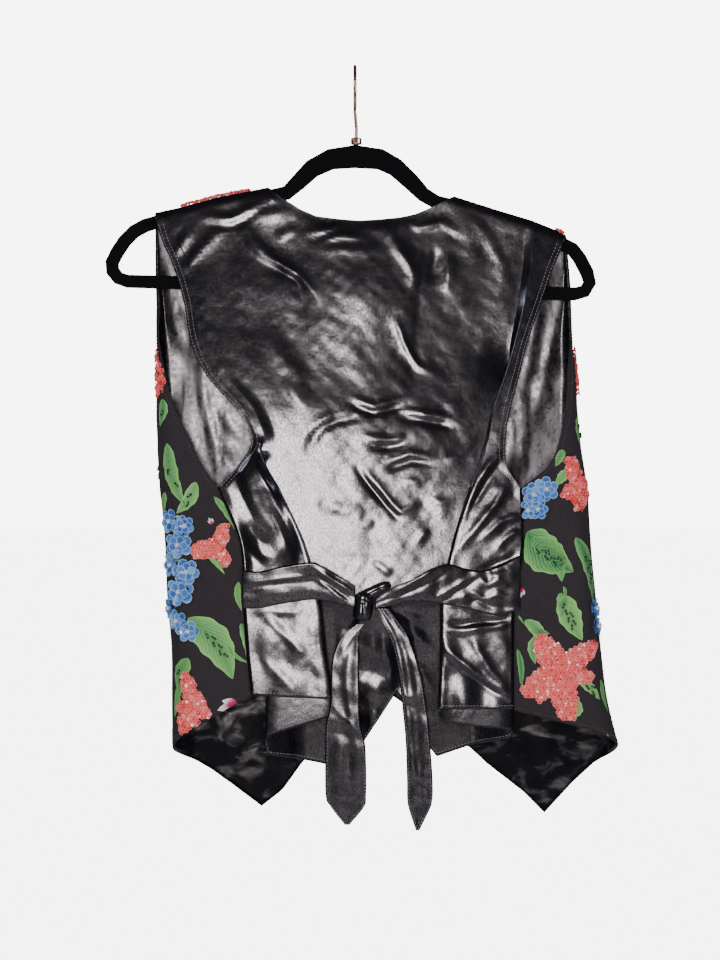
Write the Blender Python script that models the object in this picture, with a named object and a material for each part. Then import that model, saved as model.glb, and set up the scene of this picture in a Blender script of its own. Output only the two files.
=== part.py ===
"""A woman's waistcoat that hangs on a flocked hanger, seen from its tied back.

The frame: +Z up, the back of the waistcoat faces -Y, and its wearer's left is at -X.
The origin is the inside of the hook's top, where the hanger hangs on a rail.
All sizes below are in millimetres and are turned to metres when a mesh is made.
"""

import bmesh
import bpy
import math
from mathutils import Vector

MM = 0.001

# Cloth
CREPE_WALL = 1.2
LINING_WALL = 1.0
LINING_GAP = 0.4
BACK_WALL = 1.2
BELT_WALL = 1.5
SEAM_GAP = 0.5
SEAT_GAP = 0.3

# Heights: the underarm level, and the end of the V neck at the centre front
UNDERARM_Z = -380.0
V_END_Z = -305.0

# The centre front and its lap: the right front lies over the left one
CENTRE_TOP_X = 9.0
CENTRE_HEM_X = 18.0
CENTRE_HEM_Z = -552.0
LAP_HALF = 10.0
LAP_STEP = 3.4
LAP_FROM_Z = -200.0
LAP_OVER_Z = 60.0
LAP_FLAT = 22.0
LAP_FADE = 26.0
V_SAG = 7.0

# The edge folds of the pulled-in back
FOLD_RADIUS = 2.0
FOLD_REACH = 8.0
FOLD_MIN_STEP = 0.7

# The cloth rounds over the hanger's arms within this height
SHOULDER_ROUND = 6.5
ARM_DROP = 2.6
ARM_RISE_AT_NECK = 0.25
SIDE_ROUNDNESS = 0.8

# A front passes behind the hanger's arm and bar, and only lower down turns to the back
BEHIND_BAR_Y = 4.3
BEHIND_BAR_Z = -216.0
TURNS_OVER = 80.0
FULL_TURN = 3.0

# Grid sizes
TOP_ROWS = (0.0, 1.0, 3.0, SHOULDER_ROUND)
YOKE_ROWS = (0.09, 0.20, 0.32, 0.46, 0.60, 0.72, 0.84, 0.92, 1.0)
SKIRT_ROWS = 9
FRONT_INNER_COLUMNS = 5
FRONT_OUTER_COLUMNS = 3
FRONT_WRAP_COLUMNS = 10
BACK_SIDE_COLUMNS = 4
FOLD_TURN_COLUMNS = 4
FOLD_FLAT_COLUMNS = 3
SHOULDER_COLUMNS = 5
SCOOP_COLUMNS = 10

# Level sections from the shoulders down. side: the outer outline; front: the near edge
# of a front (its armhole, then the side seam); back: the edge of the back panel; fold:
# the fold's outer edge; tuck: how far the cloth doubles back under it (-8 is no fold);
# near and far: the depth of the cloth that faces -Y and +Y.
SECTIONS = (
    dict(z=-100, side_l=-181, front_l=-181, back_l=-181, fold_l=-165, tuck_l=-8,
         fold_r=168, tuck_r=-8, back_r=191, front_r=191, side_r=191, near=-4.8, far=4.8),
    dict(z=-131, side_l=-181, front_l=-181, back_l=-181, fold_l=-165, tuck_l=-8,
         fold_r=167, tuck_r=-8, back_r=191, front_r=191, side_r=191, near=-4.8, far=4.8),
    dict(z=-155, side_l=-180.5, front_l=-180.5, back_l=-175, fold_l=-159, tuck_l=-8,
         fold_r=159, tuck_r=-6, back_r=189.5, front_r=191, side_r=191.5, near=-5.2, far=5.5),
    dict(z=-180, side_l=-180, front_l=-180, back_l=-164, fold_l=-149, tuck_l=-8,
         fold_r=157, tuck_r=-5, back_r=179.5, front_r=192.5, side_r=193, near=-6.2, far=7),
    dict(z=-210, side_l=-179, front_l=-178.8, back_l=-155, fold_l=-141, tuck_l=-8,
         fold_r=152.5, tuck_r=-4, back_r=169, front_r=194, side_r=194.5, near=-8, far=10),
    dict(z=-250, side_l=-178.5, front_l=-176, back_l=-147.5, fold_l=-134, tuck_l=-8,
         fold_r=143, tuck_r=-1, back_r=155, front_r=193.5, side_r=196, near=-11, far=13),
    dict(z=-280, side_l=-178.5, front_l=-170, back_l=-133, fold_l=-121, tuck_l=-8,
         fold_r=134, tuck_r=5, back_r=147.5, front_r=191, side_r=199, near=-13.5, far=15.5),
    dict(z=-310, side_l=-178.5, front_l=-161, back_l=-106.5, fold_l=-98, tuck_l=-8,
         fold_r=123.5, tuck_r=10, back_r=139.5, front_r=189, side_r=200, near=-16, far=17.5),
    dict(z=-338, side_l=-177, front_l=-147, back_l=-93, fold_l=-87, tuck_l=-5,
         fold_r=117.5, tuck_r=13, back_r=135, front_r=183, side_r=202.5, near=-18, far=19),
    dict(z=-360, side_l=-176, front_l=-137, back_l=-105, fold_l=-80, tuck_l=9,
         fold_r=110.5, tuck_r=21, back_r=136.5, front_r=174, side_r=205.5, near=-19.5, far=20),
    dict(z=-380, side_l=-175, front_l=-123, back_l=-123, fold_l=-68.5, tuck_l=21,
         fold_r=103, tuck_r=31, back_r=149.5, front_r=149.5, side_r=208.5, near=-21, far=21),
    dict(z=-430, side_l=-170.5, front_l=-103, back_l=-103, fold_l=-45.5, tuck_l=37,
         fold_r=87.5, tuck_r=46, back_r=151, front_r=151, side_r=212, near=-23, far=22),
    dict(z=-485, side_l=-168, front_l=-100, back_l=-100, fold_l=-31, tuck_l=46,
         fold_r=77, tuck_r=54, back_r=143, front_r=143, side_r=217, near=-24, far=22.5),
    dict(z=-525, side_l=-164.5, front_l=-97, back_l=-97, fold_l=-27, tuck_l=51,
         fold_r=77, tuck_r=58, back_r=142, front_r=142, side_r=220.5, near=-24.5, far=23),
    dict(z=-568, side_l=-164, front_l=-93, back_l=-93, fold_l=-21, tuck_l=54,
         fold_r=75.5, tuck_r=61, back_r=142, front_r=142, side_r=226, near=-25, far=24),
    dict(z=-620, side_l=-164, front_l=-91, back_l=-91, fold_l=-21, tuck_l=55,
         fold_r=75, tuck_r=62, back_r=142, front_r=142, side_r=239, near=-25.5, far=25),
)

# The top edge of the back, x and z: shoulder tip, neck point, scoop, neck point, tip
NECK_POINT_L = (-79.0, -108.0)
NECK_POINT_R = (90.0, -116.0)
SHOULDER_L = ((-181, -131), (-158, -126), (-125, -117), NECK_POINT_L)
SCOOP = (NECK_POINT_L, (-65, -118), (-49, -128), (-35, -134), (-15, -136.5), (3, -138),
         (21, -137), (41, -135), (55, -132), (69, -126), (79, -121), NECK_POINT_R)
SHOULDER_R = (NECK_POINT_R, (131, -129), (161, -138), (183, -147), (191, -152))

# Hems: how far along its stretch of cloth a point lies, from 0 to 1, and its height.
# The back's stretches run from the left seam to the right one.
BACK_HEM = dict(
    side_l=((0, -565), (0.35, -567), (1, -569)),
    fold_l=((0, -569), (0.15, -572), (0.6, -600), (1, -619)),
    middle=((0, -620), (0.1, -624), (0.22, -629), (0.30, -634), (0.38, -615),
            (0.535, -563), (0.66, -612), (0.70, -623), (0.82, -614), (1, -605)),
    fold_r=((0, -605), (0.5, -594), (1, -578.5)),
    side_r=((0, -578), (1, -578)),
)
# A front's stretches run from the centre front out to the side, and on to the seam.
FRONT_HEM_L = dict(
    far=((0, -552), (0.45, -631), (0.56, -657), (0.67, -672), (0.82, -652), (0.93, -638), (1, -631)),
    wrap=((0, -631), (0.25, -618), (0.5, -600), (1, -566)),
)
FRONT_HEM_R = dict(
    far=((0, -552), (0.45, -617), (0.53, -633), (0.69, -659), (0.78, -678), (0.91, -649), (1, -632)),
    wrap=((0, -632), (0.25, -612), (0.5, -597), (1, -579)),
)
HEM_POINT_L = 0.67
HEM_POINT_R = 0.78

# The belt's two bands, from the seam to the knot, and the two hanging ends. A row is a
# station: its place along the strip, its two edges, and the depth of its middle.
BELT_L = (
    dict(at=-100.5, low=-488, high=-453.5, y=-26.0),
    dict(at=-85, low=-487.5, high=-454.5, y=-26.2),
    dict(at=-65, low=-483.5, high=-450, y=-26.2),
    dict(at=-40, low=-480, high=-446.5, y=-26.2),
    dict(at=-30, low=-480.5, high=-450, y=-26.4),
    dict(at=-18, low=-482.5, high=-456.5, y=-26.8),
    dict(at=0.5, low=-487, high=-467.5, y=-27.0),
)
BELT_R = (
    dict(at=148, low=-489, high=-440, y=-26.2),
    dict(at=129, low=-494, high=-449, y=-26.4),
    dict(at=113, low=-491.5, high=-454, y=-26.2),
    dict(at=99, low=-488, high=-452, y=-26.2),
    dict(at=83, low=-485, high=-448, y=-26.2),
    dict(at=68, low=-482, high=-452.5, y=-26.4),
    dict(at=53, low=-481, high=-461.5, y=-26.6),
    dict(at=37, low=-484, high=-468, y=-26.8),
    dict(at=17.8, low=-489, high=-479, y=-27.0),
)
TIE_L = (
    dict(at=-501.5, low=1, high=10, y=-28.0),
    dict(at=-510, low=-9, high=4, y=-28.4),
    dict(at=-523, low=-17, high=3.5, y=-28.8),
    dict(at=-540, low=-21, high=3.5, y=-29.0),
    dict(at=-572, low=-22, high=4, y=-29.0),
    dict(at=-592, low=-26, high=5, y=-28.8),
    dict(at=-612, low=-26.5, high=9.5, y=-28.4),
    dict(at=-654, low=-26.3, high=10, y=-27.6),
    dict(at=-665, low=-21.5, high=8, y=-27.4),
    dict(at=-681, low=-9, high=-5, y=-27.2),
)
TIE_R = (
    dict(at=-487, low=17.9, high=29, y=-29.6),
    dict(at=-507, low=28, high=44, y=-29.4),
    dict(at=-524, low=34.5, high=51.5, y=-29.2),
    dict(at=-549, low=39.5, high=59, y=-29.0),
    dict(at=-578, low=42.6, high=64, y=-28.6),
    dict(at=-607, low=45.3, high=67, y=-28.2),
    dict(at=-640, low=46.4, high=69.4, y=-27.8),
    dict(at=-660, low=46.8, high=69.0, y=-27.4),
    dict(at=-673, low=50, high=64, y=-27.2),
    dict(at=-686, low=54.5, high=57.5, y=-27.0),
)
STRIP_COLUMNS = 6
STRIP_ROWS_EACH = 2
STRIP_RIDGE = 1.1

KNOT_CENTRE = (9.2, -28.2, -488.5)
KNOT_RADII = (8.4, 6.0, 12.4)
KNOT_FULLNESS = 4

# The closing of the front
BUTTON_HEIGHTS = (-322, -374, -426, -478)
BUTTON_RADIUS = 7.5
BUTTON_THICK = 3.0
BUTTON_RIM = 0.6
BUTTON_SIDES = 24

# The hanger: its centreline from the neck round to the neck again, x, z and width.
# The covered parts of its arms follow the shoulders.
HANGER_THICK = 4.4
HANGER_CORNER = 1.6
ARM_WIDTH = 12.0
HANGER_NECK_L = ((0, -80, 21), (-22, -82.5, 19), (-39, -91, 17), (-51, -103, 15), (-62, -113, 13))
HANGER_END_L = ((-190, -142.5, 12.5), (-200, -148, 12.5), (-208.5, -156.5, 12.5), (-215.5, -167, 12.5),
                (-220, -176, 12.5), (-219.5, -183.5, 12.5), (-214.5, -190, 12), (-206, -193, 12))
HANGER_END_R = ((199, -204.5, 12), (208, -202, 12), (212.5, -194.5, 12), (210, -185, 12.5),
                (203.5, -172.5, 12.5), (197, -164, 12.5))
HANGER_NECK_R = ((74, -121.5, 12.5), (62, -114.5, 13.5), (51, -103, 15.5), (37, -90, 17), (23, -82.5, 19))
COVERED_L = (-82, -104, -127, -147, -165, -179)
COVERED_R = (185, 174, 158, 138, 112, 93)
BAR_POINTS = 9

# The hook and its collar
WIRE_RADIUS = 1.5
HOOK_RADIUS = 21.5
HOOK_CENTRE_Z = WIRE_RADIUS - HOOK_RADIUS
HOOK_FROM = math.radians(255)
HOOK_TO = math.radians(-22)
HOOK_STEPS = 22
STEM_X = 1.2
COLLAR_TOP_Z = -63.2
COLLAR_HEIGHT = 6.0
COLLAR_RADIUS = 5.0
STEM_BEND_Z = -50.0

CREPE = dict(color=(0.030, 0.025, 0.027), roughness=0.85, metallic=0.0)
SATIN = dict(color=(0.018, 0.018, 0.020), roughness=0.38, metallic=0.0)
FLOCK = dict(color=(0.008, 0.008, 0.009), roughness=0.95, metallic=0.0)
COPPER = dict(color=(0.80, 0.42, 0.30), roughness=0.22, metallic=1.0)
PLASTIC = dict(color=(0.015, 0.015, 0.016), roughness=0.30, metallic=0.0)


def clear_scene():
    for each in list(bpy.data.objects):
        bpy.data.objects.remove(each, do_unlink=True)


def finish(name, mesh, look):
    """Makes the mesh's object, with a material of its own."""
    made = bpy.data.objects.new(name, mesh)
    bpy.context.scene.collection.objects.link(made)
    material = bpy.data.materials.new(name)
    material.use_nodes = True
    shader = material.node_tree.nodes["Principled BSDF"]
    shader.inputs["Base Color"].default_value = (*look["color"], 1.0)
    shader.inputs["Roughness"].default_value = look["roughness"]
    shader.inputs["Metallic"].default_value = look["metallic"]
    material.diffuse_color = (*look["color"], 1.0)
    mesh.materials.append(material)
    mesh.shade_smooth()
    return made


def blend(a, b, t):
    return a + (b - a) * t


def ease(t):
    """A soft step from 0 to 1."""
    t = min(1.0, max(0.0, t))
    return t * t * (3.0 - 2.0 * t)


def between(rows, at):
    """The height at one place on a line of (place, height) rows."""
    rows = sorted(rows)
    if at <= rows[0][0]:
        return rows[0][1]
    for (x0, z0), (x1, z1) in zip(rows, rows[1:]):
        if at <= x1:
            return blend(z0, z1, (at - x0) / (x1 - x0))
    return rows[-1][1]


def section(z):
    """Every column of the section table at one height.

    The curve through the rows is smooth, but for a corner at the underarm.
    """
    rows = SECTIONS
    z = min(rows[0]["z"], max(rows[-1]["z"], z))
    i = next(k for k in range(len(rows) - 1) if z >= rows[k + 1]["z"])
    t = (rows[i]["z"] - z) / (rows[i]["z"] - rows[i + 1]["z"])
    before = rows[i if rows[i]["z"] == UNDERARM_Z else max(0, i - 1)]
    after = rows[i + 1 if rows[i + 1]["z"] == UNDERARM_Z else min(len(rows) - 1, i + 2)]
    found = {}
    for name in rows[0]:
        p0, p1, p2, p3 = before[name], rows[i][name], rows[i + 1][name], after[name]
        span = rows[i]["z"] - rows[i + 1]["z"]
        slope1 = (p2 - p0) / (before["z"] - rows[i + 1]["z"]) * span
        slope2 = (p3 - p1) / (rows[i]["z"] - after["z"]) * span
        low, high = min(p1, p2), max(p1, p2)
        curve = (
            (2 * t**3 - 3 * t**2 + 1) * p1 + (t**3 - 2 * t**2 + t) * slope1
            + (3 * t**2 - 2 * t**3) * p2 + (t**3 - t**2) * slope2
        )
        found[name] = min(high, max(low, curve))
    return found


def centre_front(z):
    return blend(CENTRE_TOP_X, CENTRE_HEM_X, (z - V_END_Z) / (CENTRE_HEM_Z - V_END_Z))


def inner_edge(side, z):
    """The x of a front's inner edge: its V neck, then its edge in the lap."""
    neck_x, neck_z = NECK_POINT_L if side < 0 else NECK_POINT_R
    t = (z - neck_z) / (V_END_Z - neck_z)
    if t >= 1.0:
        return centre_front(z) - side * LAP_HALF
    t = max(0.0, t)
    end_x = centre_front(V_END_Z) - side * LAP_HALF
    return blend(neck_x, end_x, t) + side * V_SAG * 4.0 * t * (1.0 - t)


def row_heights(top, hem):
    """A column's heights, from its top edge to its hem."""
    heights = [top - drop for drop in TOP_ROWS]
    yoke_top = heights[-1]
    heights += [blend(yoke_top, UNDERARM_Z, share) for share in YOKE_ROWS]
    heights += [blend(UNDERARM_Z, hem, (k + 1) / SKIRT_ROWS) for k in range(SKIRT_ROWS)]
    return heights


def over_arm(drop):
    """How far out the cloth stands, from 0 to 1, this far below the seam on the arm's top."""
    t = min(1.0, max(0.0, drop / SHOULDER_ROUND))
    return math.sqrt(1.0 - (1.0 - t) ** 2)


def front_point(side, part, share, z, rise):
    """A point of a front at one height. part is far or wrap, and share runs from 0 to 1."""
    at = section(z)
    key = "l" if side < 0 else "r"
    outline, edge = at["side_" + key], at["front_" + key]
    middle = (at["near"] + at["far"]) / 2
    half = (at["far"] - at["near"]) / 2
    reach = half * SIDE_ROUNDNESS
    inner = inner_edge(side, z)
    inward = max(0.0, side * (outline - edge))
    last = math.pi - math.asin(1.0 - min(1.0, inward / reach))
    free_y = BEHIND_BAR_Y - max(0.0, BEHIND_BAR_Z - z) / TURNS_OVER * 2 * half
    last = min(last, math.acos(max(-1.0, min(1.0, (free_y - middle) / half))))
    widest = math.sin(min(last, math.pi / 2))
    turn = outline - side * reach * widest
    if part == "far":
        x = blend(inner, turn, share)
        y = at["far"]
    else:
        arc = last * (half + reach) / 2
        flat = max(0.0, inward - reach) if last > FULL_TURN else 0.0
        gone = share * (arc + flat)
        angle = min(last, gone / arc * last)
        x = outline - side * reach * (widest - math.sin(angle)) - side * max(0.0, gone - arc)
        y = middle + half * math.cos(angle)
        x = blend(blend(turn, outline, share), x, rise)
        if z <= UNDERARM_Z:
            x += side * SEAM_GAP / 2 * share
    lap = ease(1.0 - (side * (x - inner) - LAP_FLAT) / LAP_FADE) if side > 0 and part == "far" else 0.0
    y += LAP_STEP * lap * ease((LAP_FROM_Z - z) / LAP_OVER_Z)
    return Vector((x, blend(SEAM_GAP / 2, y, rise), z))


def top_of(edge, place):
    """Where a column meets the top edge: its x, and the height there."""
    z = NECK_POINT_L[1]
    for _ in range(4):
        x = place(z)
        z = between(edge, x)
    return x, z


def front_grid(side):
    """The rows of points where a front's crepe and its lining meet."""
    hem = FRONT_HEM_L if side < 0 else FRONT_HEM_R
    shoulder = SHOULDER_L if side < 0 else SHOULDER_R
    point = HEM_POINT_L if side < 0 else HEM_POINT_R
    columns = [("far", point * k / FRONT_INNER_COLUMNS) for k in range(FRONT_INNER_COLUMNS)]
    columns += [("far", blend(point, 1.0, k / FRONT_OUTER_COLUMNS)) for k in range(FRONT_OUTER_COLUMNS)]
    columns += [("wrap", k / FRONT_WRAP_COLUMNS) for k in range(FRONT_WRAP_COLUMNS + 1)]
    lines = []
    for part, share in columns:
        top = top_of(shoulder, lambda z: front_point(side, part, share, z, 0.0).x)[1] - CREPE_WALL
        heights = row_heights(top, between(hem[part], share))
        lines.append([front_point(side, part, share, z, over_arm(top - z)) for z in heights])
    return [list(row) for row in zip(*lines)]


def fold_path(tuck):
    """The path of a pulled-in fold from its start at (0, 0): on, back under and on again."""
    turned = math.pi * ease((tuck + FOLD_REACH) / (2 * FOLD_REACH))
    flat = max(FOLD_REACH, tuck) * (1.0 - 0.5 * math.sin(turned))
    r = FOLD_RADIUS
    steps = 12
    points = [
        (r * math.sin(turned * k / steps), r * (1.0 - math.cos(turned * k / steps)))
        for k in range(steps + 1)
    ]
    x, y = points[-1]
    x += flat * math.cos(turned)
    y += flat * math.sin(turned)
    for k in range(steps + 1):
        left = turned * (1.0 - k / steps)
        points.append((
            x + r * (math.sin(turned) - math.sin(left)),
            y + r * (math.cos(left) - math.cos(turned)),
        ))
    return points, r * turned, flat


def spread_along(points, lengths):
    """Points at the given step lengths along a path."""
    total = sum(math.dist(a, b) for a, b in zip(points, points[1:]))
    scale = total / sum(lengths)
    found = []
    gone = 0.0
    for step in lengths:
        gone += step * scale
        left = gone
        for a, b in zip(points, points[1:]):
            long = math.dist(a, b)
            if left <= long and long > 0.0:
                found.append((blend(a[0], b[0], left / long), blend(a[1], b[1], left / long)))
                break
            left -= long
        else:
            found.append(points[-1])
    return found


def fold_points(tuck):
    """The fold's points after its start, in even steps round its turns and along its flat."""
    points, turn, flat = fold_path(tuck)
    turn_step = max(turn / FOLD_TURN_COLUMNS, FOLD_MIN_STEP)
    flat_step = max((2 * turn + flat - 2 * turn_step * FOLD_TURN_COLUMNS) / FOLD_FLAT_COLUMNS, 0.3)
    lengths = (
        [turn_step] * FOLD_TURN_COLUMNS + [flat_step] * FOLD_FLAT_COLUMNS
        + [turn_step] * FOLD_TURN_COLUMNS
    )
    return spread_along(points, lengths)


def middle_shares():
    """The places of the middle's columns, with one at each neck point and more beside it."""
    start = back_point("middle", 0.0, NECK_POINT_L[1]).x
    end = back_point("middle", 1.0, NECK_POINT_L[1]).x
    neck_l = (NECK_POINT_L[0] - start) / (end - start)
    neck_r = (NECK_POINT_R[0] - start) / (end - start)
    shares = [neck_l * k / SHOULDER_COLUMNS for k in range(SHOULDER_COLUMNS)]
    for k in range(SCOOP_COLUMNS):
        across = (1.0 - math.cos(math.pi * k / SCOOP_COLUMNS)) / 2
        shares.append(blend(neck_l, neck_r, across))
    shares += [blend(neck_r, 1.0, k / SHOULDER_COLUMNS) for k in range(SHOULDER_COLUMNS + 1)]
    return shares


def back_columns():
    """Each column of the back: its stretch, and how far along that stretch it lies."""
    fold_columns = 2 * FOLD_TURN_COLUMNS + FOLD_FLAT_COLUMNS
    columns = [("side_l", k / BACK_SIDE_COLUMNS) for k in range(BACK_SIDE_COLUMNS + 1)]
    columns += [("fold_l", k / fold_columns) for k in range(1, fold_columns)]
    columns += [("middle", share) for share in middle_shares()]
    columns += [("fold_r", k / fold_columns) for k in range(1, fold_columns)]
    columns += [("side_r", k / BACK_SIDE_COLUMNS) for k in range(BACK_SIDE_COLUMNS + 1)]
    return columns


def back_point(part, share, z):
    """A point on the middle of the back's wall at one height."""
    at = section(z)
    base = at["near"] - BACK_WALL / 2
    seam = SEAM_GAP / 2 if z <= UNDERARM_Z else 0.0
    start_l = at["fold_l"] - FOLD_RADIUS
    start_r = at["fold_r"] + FOLD_RADIUS
    fold_l = fold_points(at["tuck_l"])
    fold_r = fold_points(at["tuck_r"])
    if part == "side_l":
        x, y = blend(at["back_l"] + seam, start_l, share), base
    elif part == "side_r":
        x, y = blend(start_r, at["back_r"] - seam, share), base
    elif part == "middle":
        x = blend(start_l + fold_l[-1][0], start_r - fold_r[-1][0], share)
        y = base + blend(fold_l[-1][1], fold_r[-1][1], share)
    elif part == "fold_l":
        dx, dy = fold_l[round(share * len(fold_l)) - 1]
        x, y = start_l + dx, base + dy
    else:
        dx, dy = fold_r[round((1.0 - share) * len(fold_r)) - 1]
        x, y = start_r - dx, base + dy
    return Vector((x, y, z))


def back_grid():
    """The rows of points down the middle of the back's wall."""
    top_edge = SHOULDER_L + SCOOP[1:-1] + SHOULDER_R
    neck_l, neck_r = NECK_POINT_L[0], NECK_POINT_R[0]
    lines = []
    for part, share in back_columns():
        first, top = top_of(top_edge, lambda z: back_point(part, share, z).x)
        top -= BACK_WALL / 2
        inside = min(max(0.0, first - neck_l), max(0.0, neck_r - first))
        nearest = NECK_POINT_L if abs(first - neck_l) < abs(first - neck_r) else NECK_POINT_R
        arm = nearest[1] + ARM_RISE_AT_NECK * inside - BACK_WALL / 2 if inside else top
        heights = row_heights(top, between(BACK_HEM[part], share))
        line = []
        for z in heights:
            point = back_point(part, share, z)
            point.y = blend(-SEAM_GAP / 2, point.y, over_arm(arm - z))
            line.append(point)
        lines.append(line)
    return [list(row) for row in zip(*lines)]


def grid_mesh(name, rows, flip):
    """A mesh sheet through rows of points."""
    sheet = bmesh.new()
    made = [[sheet.verts.new(point * MM) for point in row] for row in rows]
    for upper, lower in zip(made, made[1:]):
        for k in range(len(upper) - 1):
            corners = [upper[k], upper[k + 1], lower[k + 1], lower[k]]
            sheet.faces.new(corners[::-1] if flip else corners)
    mesh = bpy.data.meshes.new(name)
    sheet.to_mesh(mesh)
    sheet.free()
    return mesh


def add_wall(made, thickness, offset):
    wall = made.modifiers.new("wall", "SOLIDIFY")
    wall.thickness = thickness * MM
    wall.offset = offset
    wall.use_even_offset = True


def make_fronts():
    for side, word in ((-1, "left"), (1, "right")):
        rows = front_grid(side)
        crepe = finish("front_" + word, grid_mesh("front_" + word, rows, side < 0), CREPE)
        add_wall(crepe, CREPE_WALL, 1.0)
        inside = rows[2:]
        lining = finish("lining_" + word, grid_mesh("lining_" + word, inside, side < 0), SATIN)
        shift = lining.modifiers.new("gap", "DISPLACE")
        shift.direction = "NORMAL"
        shift.mid_level = 0.0
        shift.strength = -LINING_GAP * MM
        add_wall(lining, LINING_WALL, -1.0)


def make_back():
    back = finish("back", grid_mesh("back", back_grid(), True), SATIN)
    add_wall(back, BACK_WALL, 0.0)


def smooth_rows(table):
    """The stations of a strip, with points between them on a smooth curve."""
    rows = []
    for k in range(len(table) - 1):
        a, b = table[k], table[k + 1]
        before, after = table[max(0, k - 1)], table[min(len(table) - 1, k + 2)]
        for step in range(STRIP_ROWS_EACH):
            t = step / STRIP_ROWS_EACH
            row = {}
            for name in a:
                slope1 = (b[name] - before[name]) / 2
                slope2 = (after[name] - a[name]) / 2
                row[name] = (
                    (2 * t**3 - 3 * t**2 + 1) * a[name] + (t**3 - 2 * t**2 + t) * slope1
                    + (3 * t**2 - 2 * t**3) * b[name] + (t**3 - t**2) * slope2
                )
            rows.append(row)
    return rows + [table[-1]]


def strip_rows(table, level):
    """A band's points: it lies level along X, or hangs down along Z."""
    rows = []
    for row in smooth_rows(table):
        line = []
        for k in range(STRIP_COLUMNS + 1):
            share = k / STRIP_COLUMNS
            across = blend(row["low"], row["high"], share)
            y = row["y"] - STRIP_RIDGE * math.sin(2 * math.pi * share) ** 2
            line.append(Vector((row["at"], y, across) if level else (across, y, row["at"])))
        rows.append(line)
    return rows


def make_belt():
    for name, table, level, flip in (
        ("belt_left", BELT_L, True, False),
        ("belt_right", BELT_R, True, True),
        ("tie_end_left", TIE_L, False, True),
        ("tie_end_right", TIE_R, False, True),
    ):
        band = finish(name, grid_mesh(name, strip_rows(table, level), flip), SATIN)
        add_wall(band, BELT_WALL, 0.0)


def make_knot():
    shape = bmesh.new()
    bmesh.ops.create_uvsphere(shape, u_segments=18, v_segments=12, radius=1.0)
    for vert in shape.verts:
        level = min(1.0, abs(vert.co.z))
        round_width = math.sqrt(1.0 - level**2)
        fuller = (1.0 - level**KNOT_FULLNESS) ** (1 / KNOT_FULLNESS) / round_width if round_width > 0.01 else 1.0
        vert.co.x *= KNOT_RADII[0] * fuller * MM
        vert.co.y *= KNOT_RADII[1] * fuller * MM
        vert.co.z *= KNOT_RADII[2] * MM
    mesh = bpy.data.meshes.new("knot")
    shape.to_mesh(mesh)
    shape.free()
    knot = finish("knot", mesh, SATIN)
    knot.location = Vector(KNOT_CENTRE) * MM


def disc_mesh(name, radius, height, sides):
    """A plain disc that stands along Z, centred."""
    shape = bmesh.new()
    bmesh.ops.create_cone(
        shape, cap_ends=True, segments=sides, radius1=radius * MM, radius2=radius * MM, depth=height * MM
    )
    mesh = bpy.data.meshes.new(name)
    shape.to_mesh(mesh)
    shape.free()
    return mesh


def round_rims(made, width):
    rim = made.modifiers.new("rim", "BEVEL")
    rim.width = width * MM
    rim.segments = 2
    rim.angle_limit = math.radians(50)
    made.data.set_sharp_from_angle(angle=math.radians(50))


def make_buttons():
    for number, z in enumerate(BUTTON_HEIGHTS, 1):
        name = f"button_{number}"
        button = finish(name, disc_mesh(name, BUTTON_RADIUS, BUTTON_THICK, BUTTON_SIDES), PLASTIC)
        round_rims(button, BUTTON_RIM)
        front = section(z - BUTTON_RADIUS)["far"] + LAP_STEP + CREPE_WALL
        button.location = Vector((centre_front(z), front + SEAT_GAP + BUTTON_THICK / 2, z)) * MM
        button.rotation_euler = (math.radians(90), 0, 0)


def covered_arm(shoulder, places):
    """The centreline of an arm under the cloth, square to the shoulder's slope."""
    line = []
    for x in places:
        slope = (between(shoulder, x + 4) - between(shoulder, x - 4)) / 8
        half = ARM_WIDTH / 2 * math.hypot(1.0, slope)
        line.append((x, between(shoulder, x) - ARM_DROP - half, ARM_WIDTH))
    return line


def hanger_line():
    """The hanger's centreline, all the way round, with its width at each point."""
    line = list(HANGER_NECK_L) + covered_arm(SHOULDER_L, COVERED_L)
    line += HANGER_END_L
    start, end = HANGER_END_L[-1], HANGER_END_R[0]
    for k in range(1, BAR_POINTS):
        share = k / BAR_POINTS
        line.append((blend(start[0], end[0], share), blend(start[1], end[1], share), ARM_WIDTH))
    line += HANGER_END_R
    return line + covered_arm(SHOULDER_R, COVERED_R) + list(HANGER_NECK_R)


def hanger_section(width):
    """The arm's cross section, as (across, depth) points of a rounded bar."""
    half, thick, corner = width / 2, HANGER_THICK / 2, HANGER_CORNER
    points = []
    for sign_a, sign_d, first in ((1, 1, 0), (-1, 1, 1), (-1, -1, 0), (1, -1, 1)):
        pair = [(sign_a * half, sign_d * (thick - corner)), (sign_a * (half - corner), sign_d * thick)]
        points += pair[::-1] if first else pair
    return points


def make_hanger():
    line = hanger_line()
    count = len(line)
    shape = bmesh.new()
    rings = []
    for k, (x, z, width) in enumerate(line):
        before, after = line[k - 1], line[(k + 1) % count]
        along = Vector((after[0] - before[0], 0.0, after[1] - before[1])).normalized()
        across = Vector((along.z, 0.0, -along.x))
        rings.append([
            shape.verts.new((Vector((x, 0.0, z)) + across * a + Vector((0.0, d, 0.0))) * MM)
            for a, d in hanger_section(width)
        ])
    for k in range(count):
        ring, other = rings[k], rings[(k + 1) % count]
        for n in range(len(ring)):
            m = (n + 1) % len(ring)
            shape.faces.new((ring[n], ring[m], other[m], other[n]))
    bmesh.ops.recalc_face_normals(shape, faces=shape.faces)
    mesh = bpy.data.meshes.new("hanger")
    shape.to_mesh(mesh)
    shape.free()
    finish("hanger", mesh, FLOCK)


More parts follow.
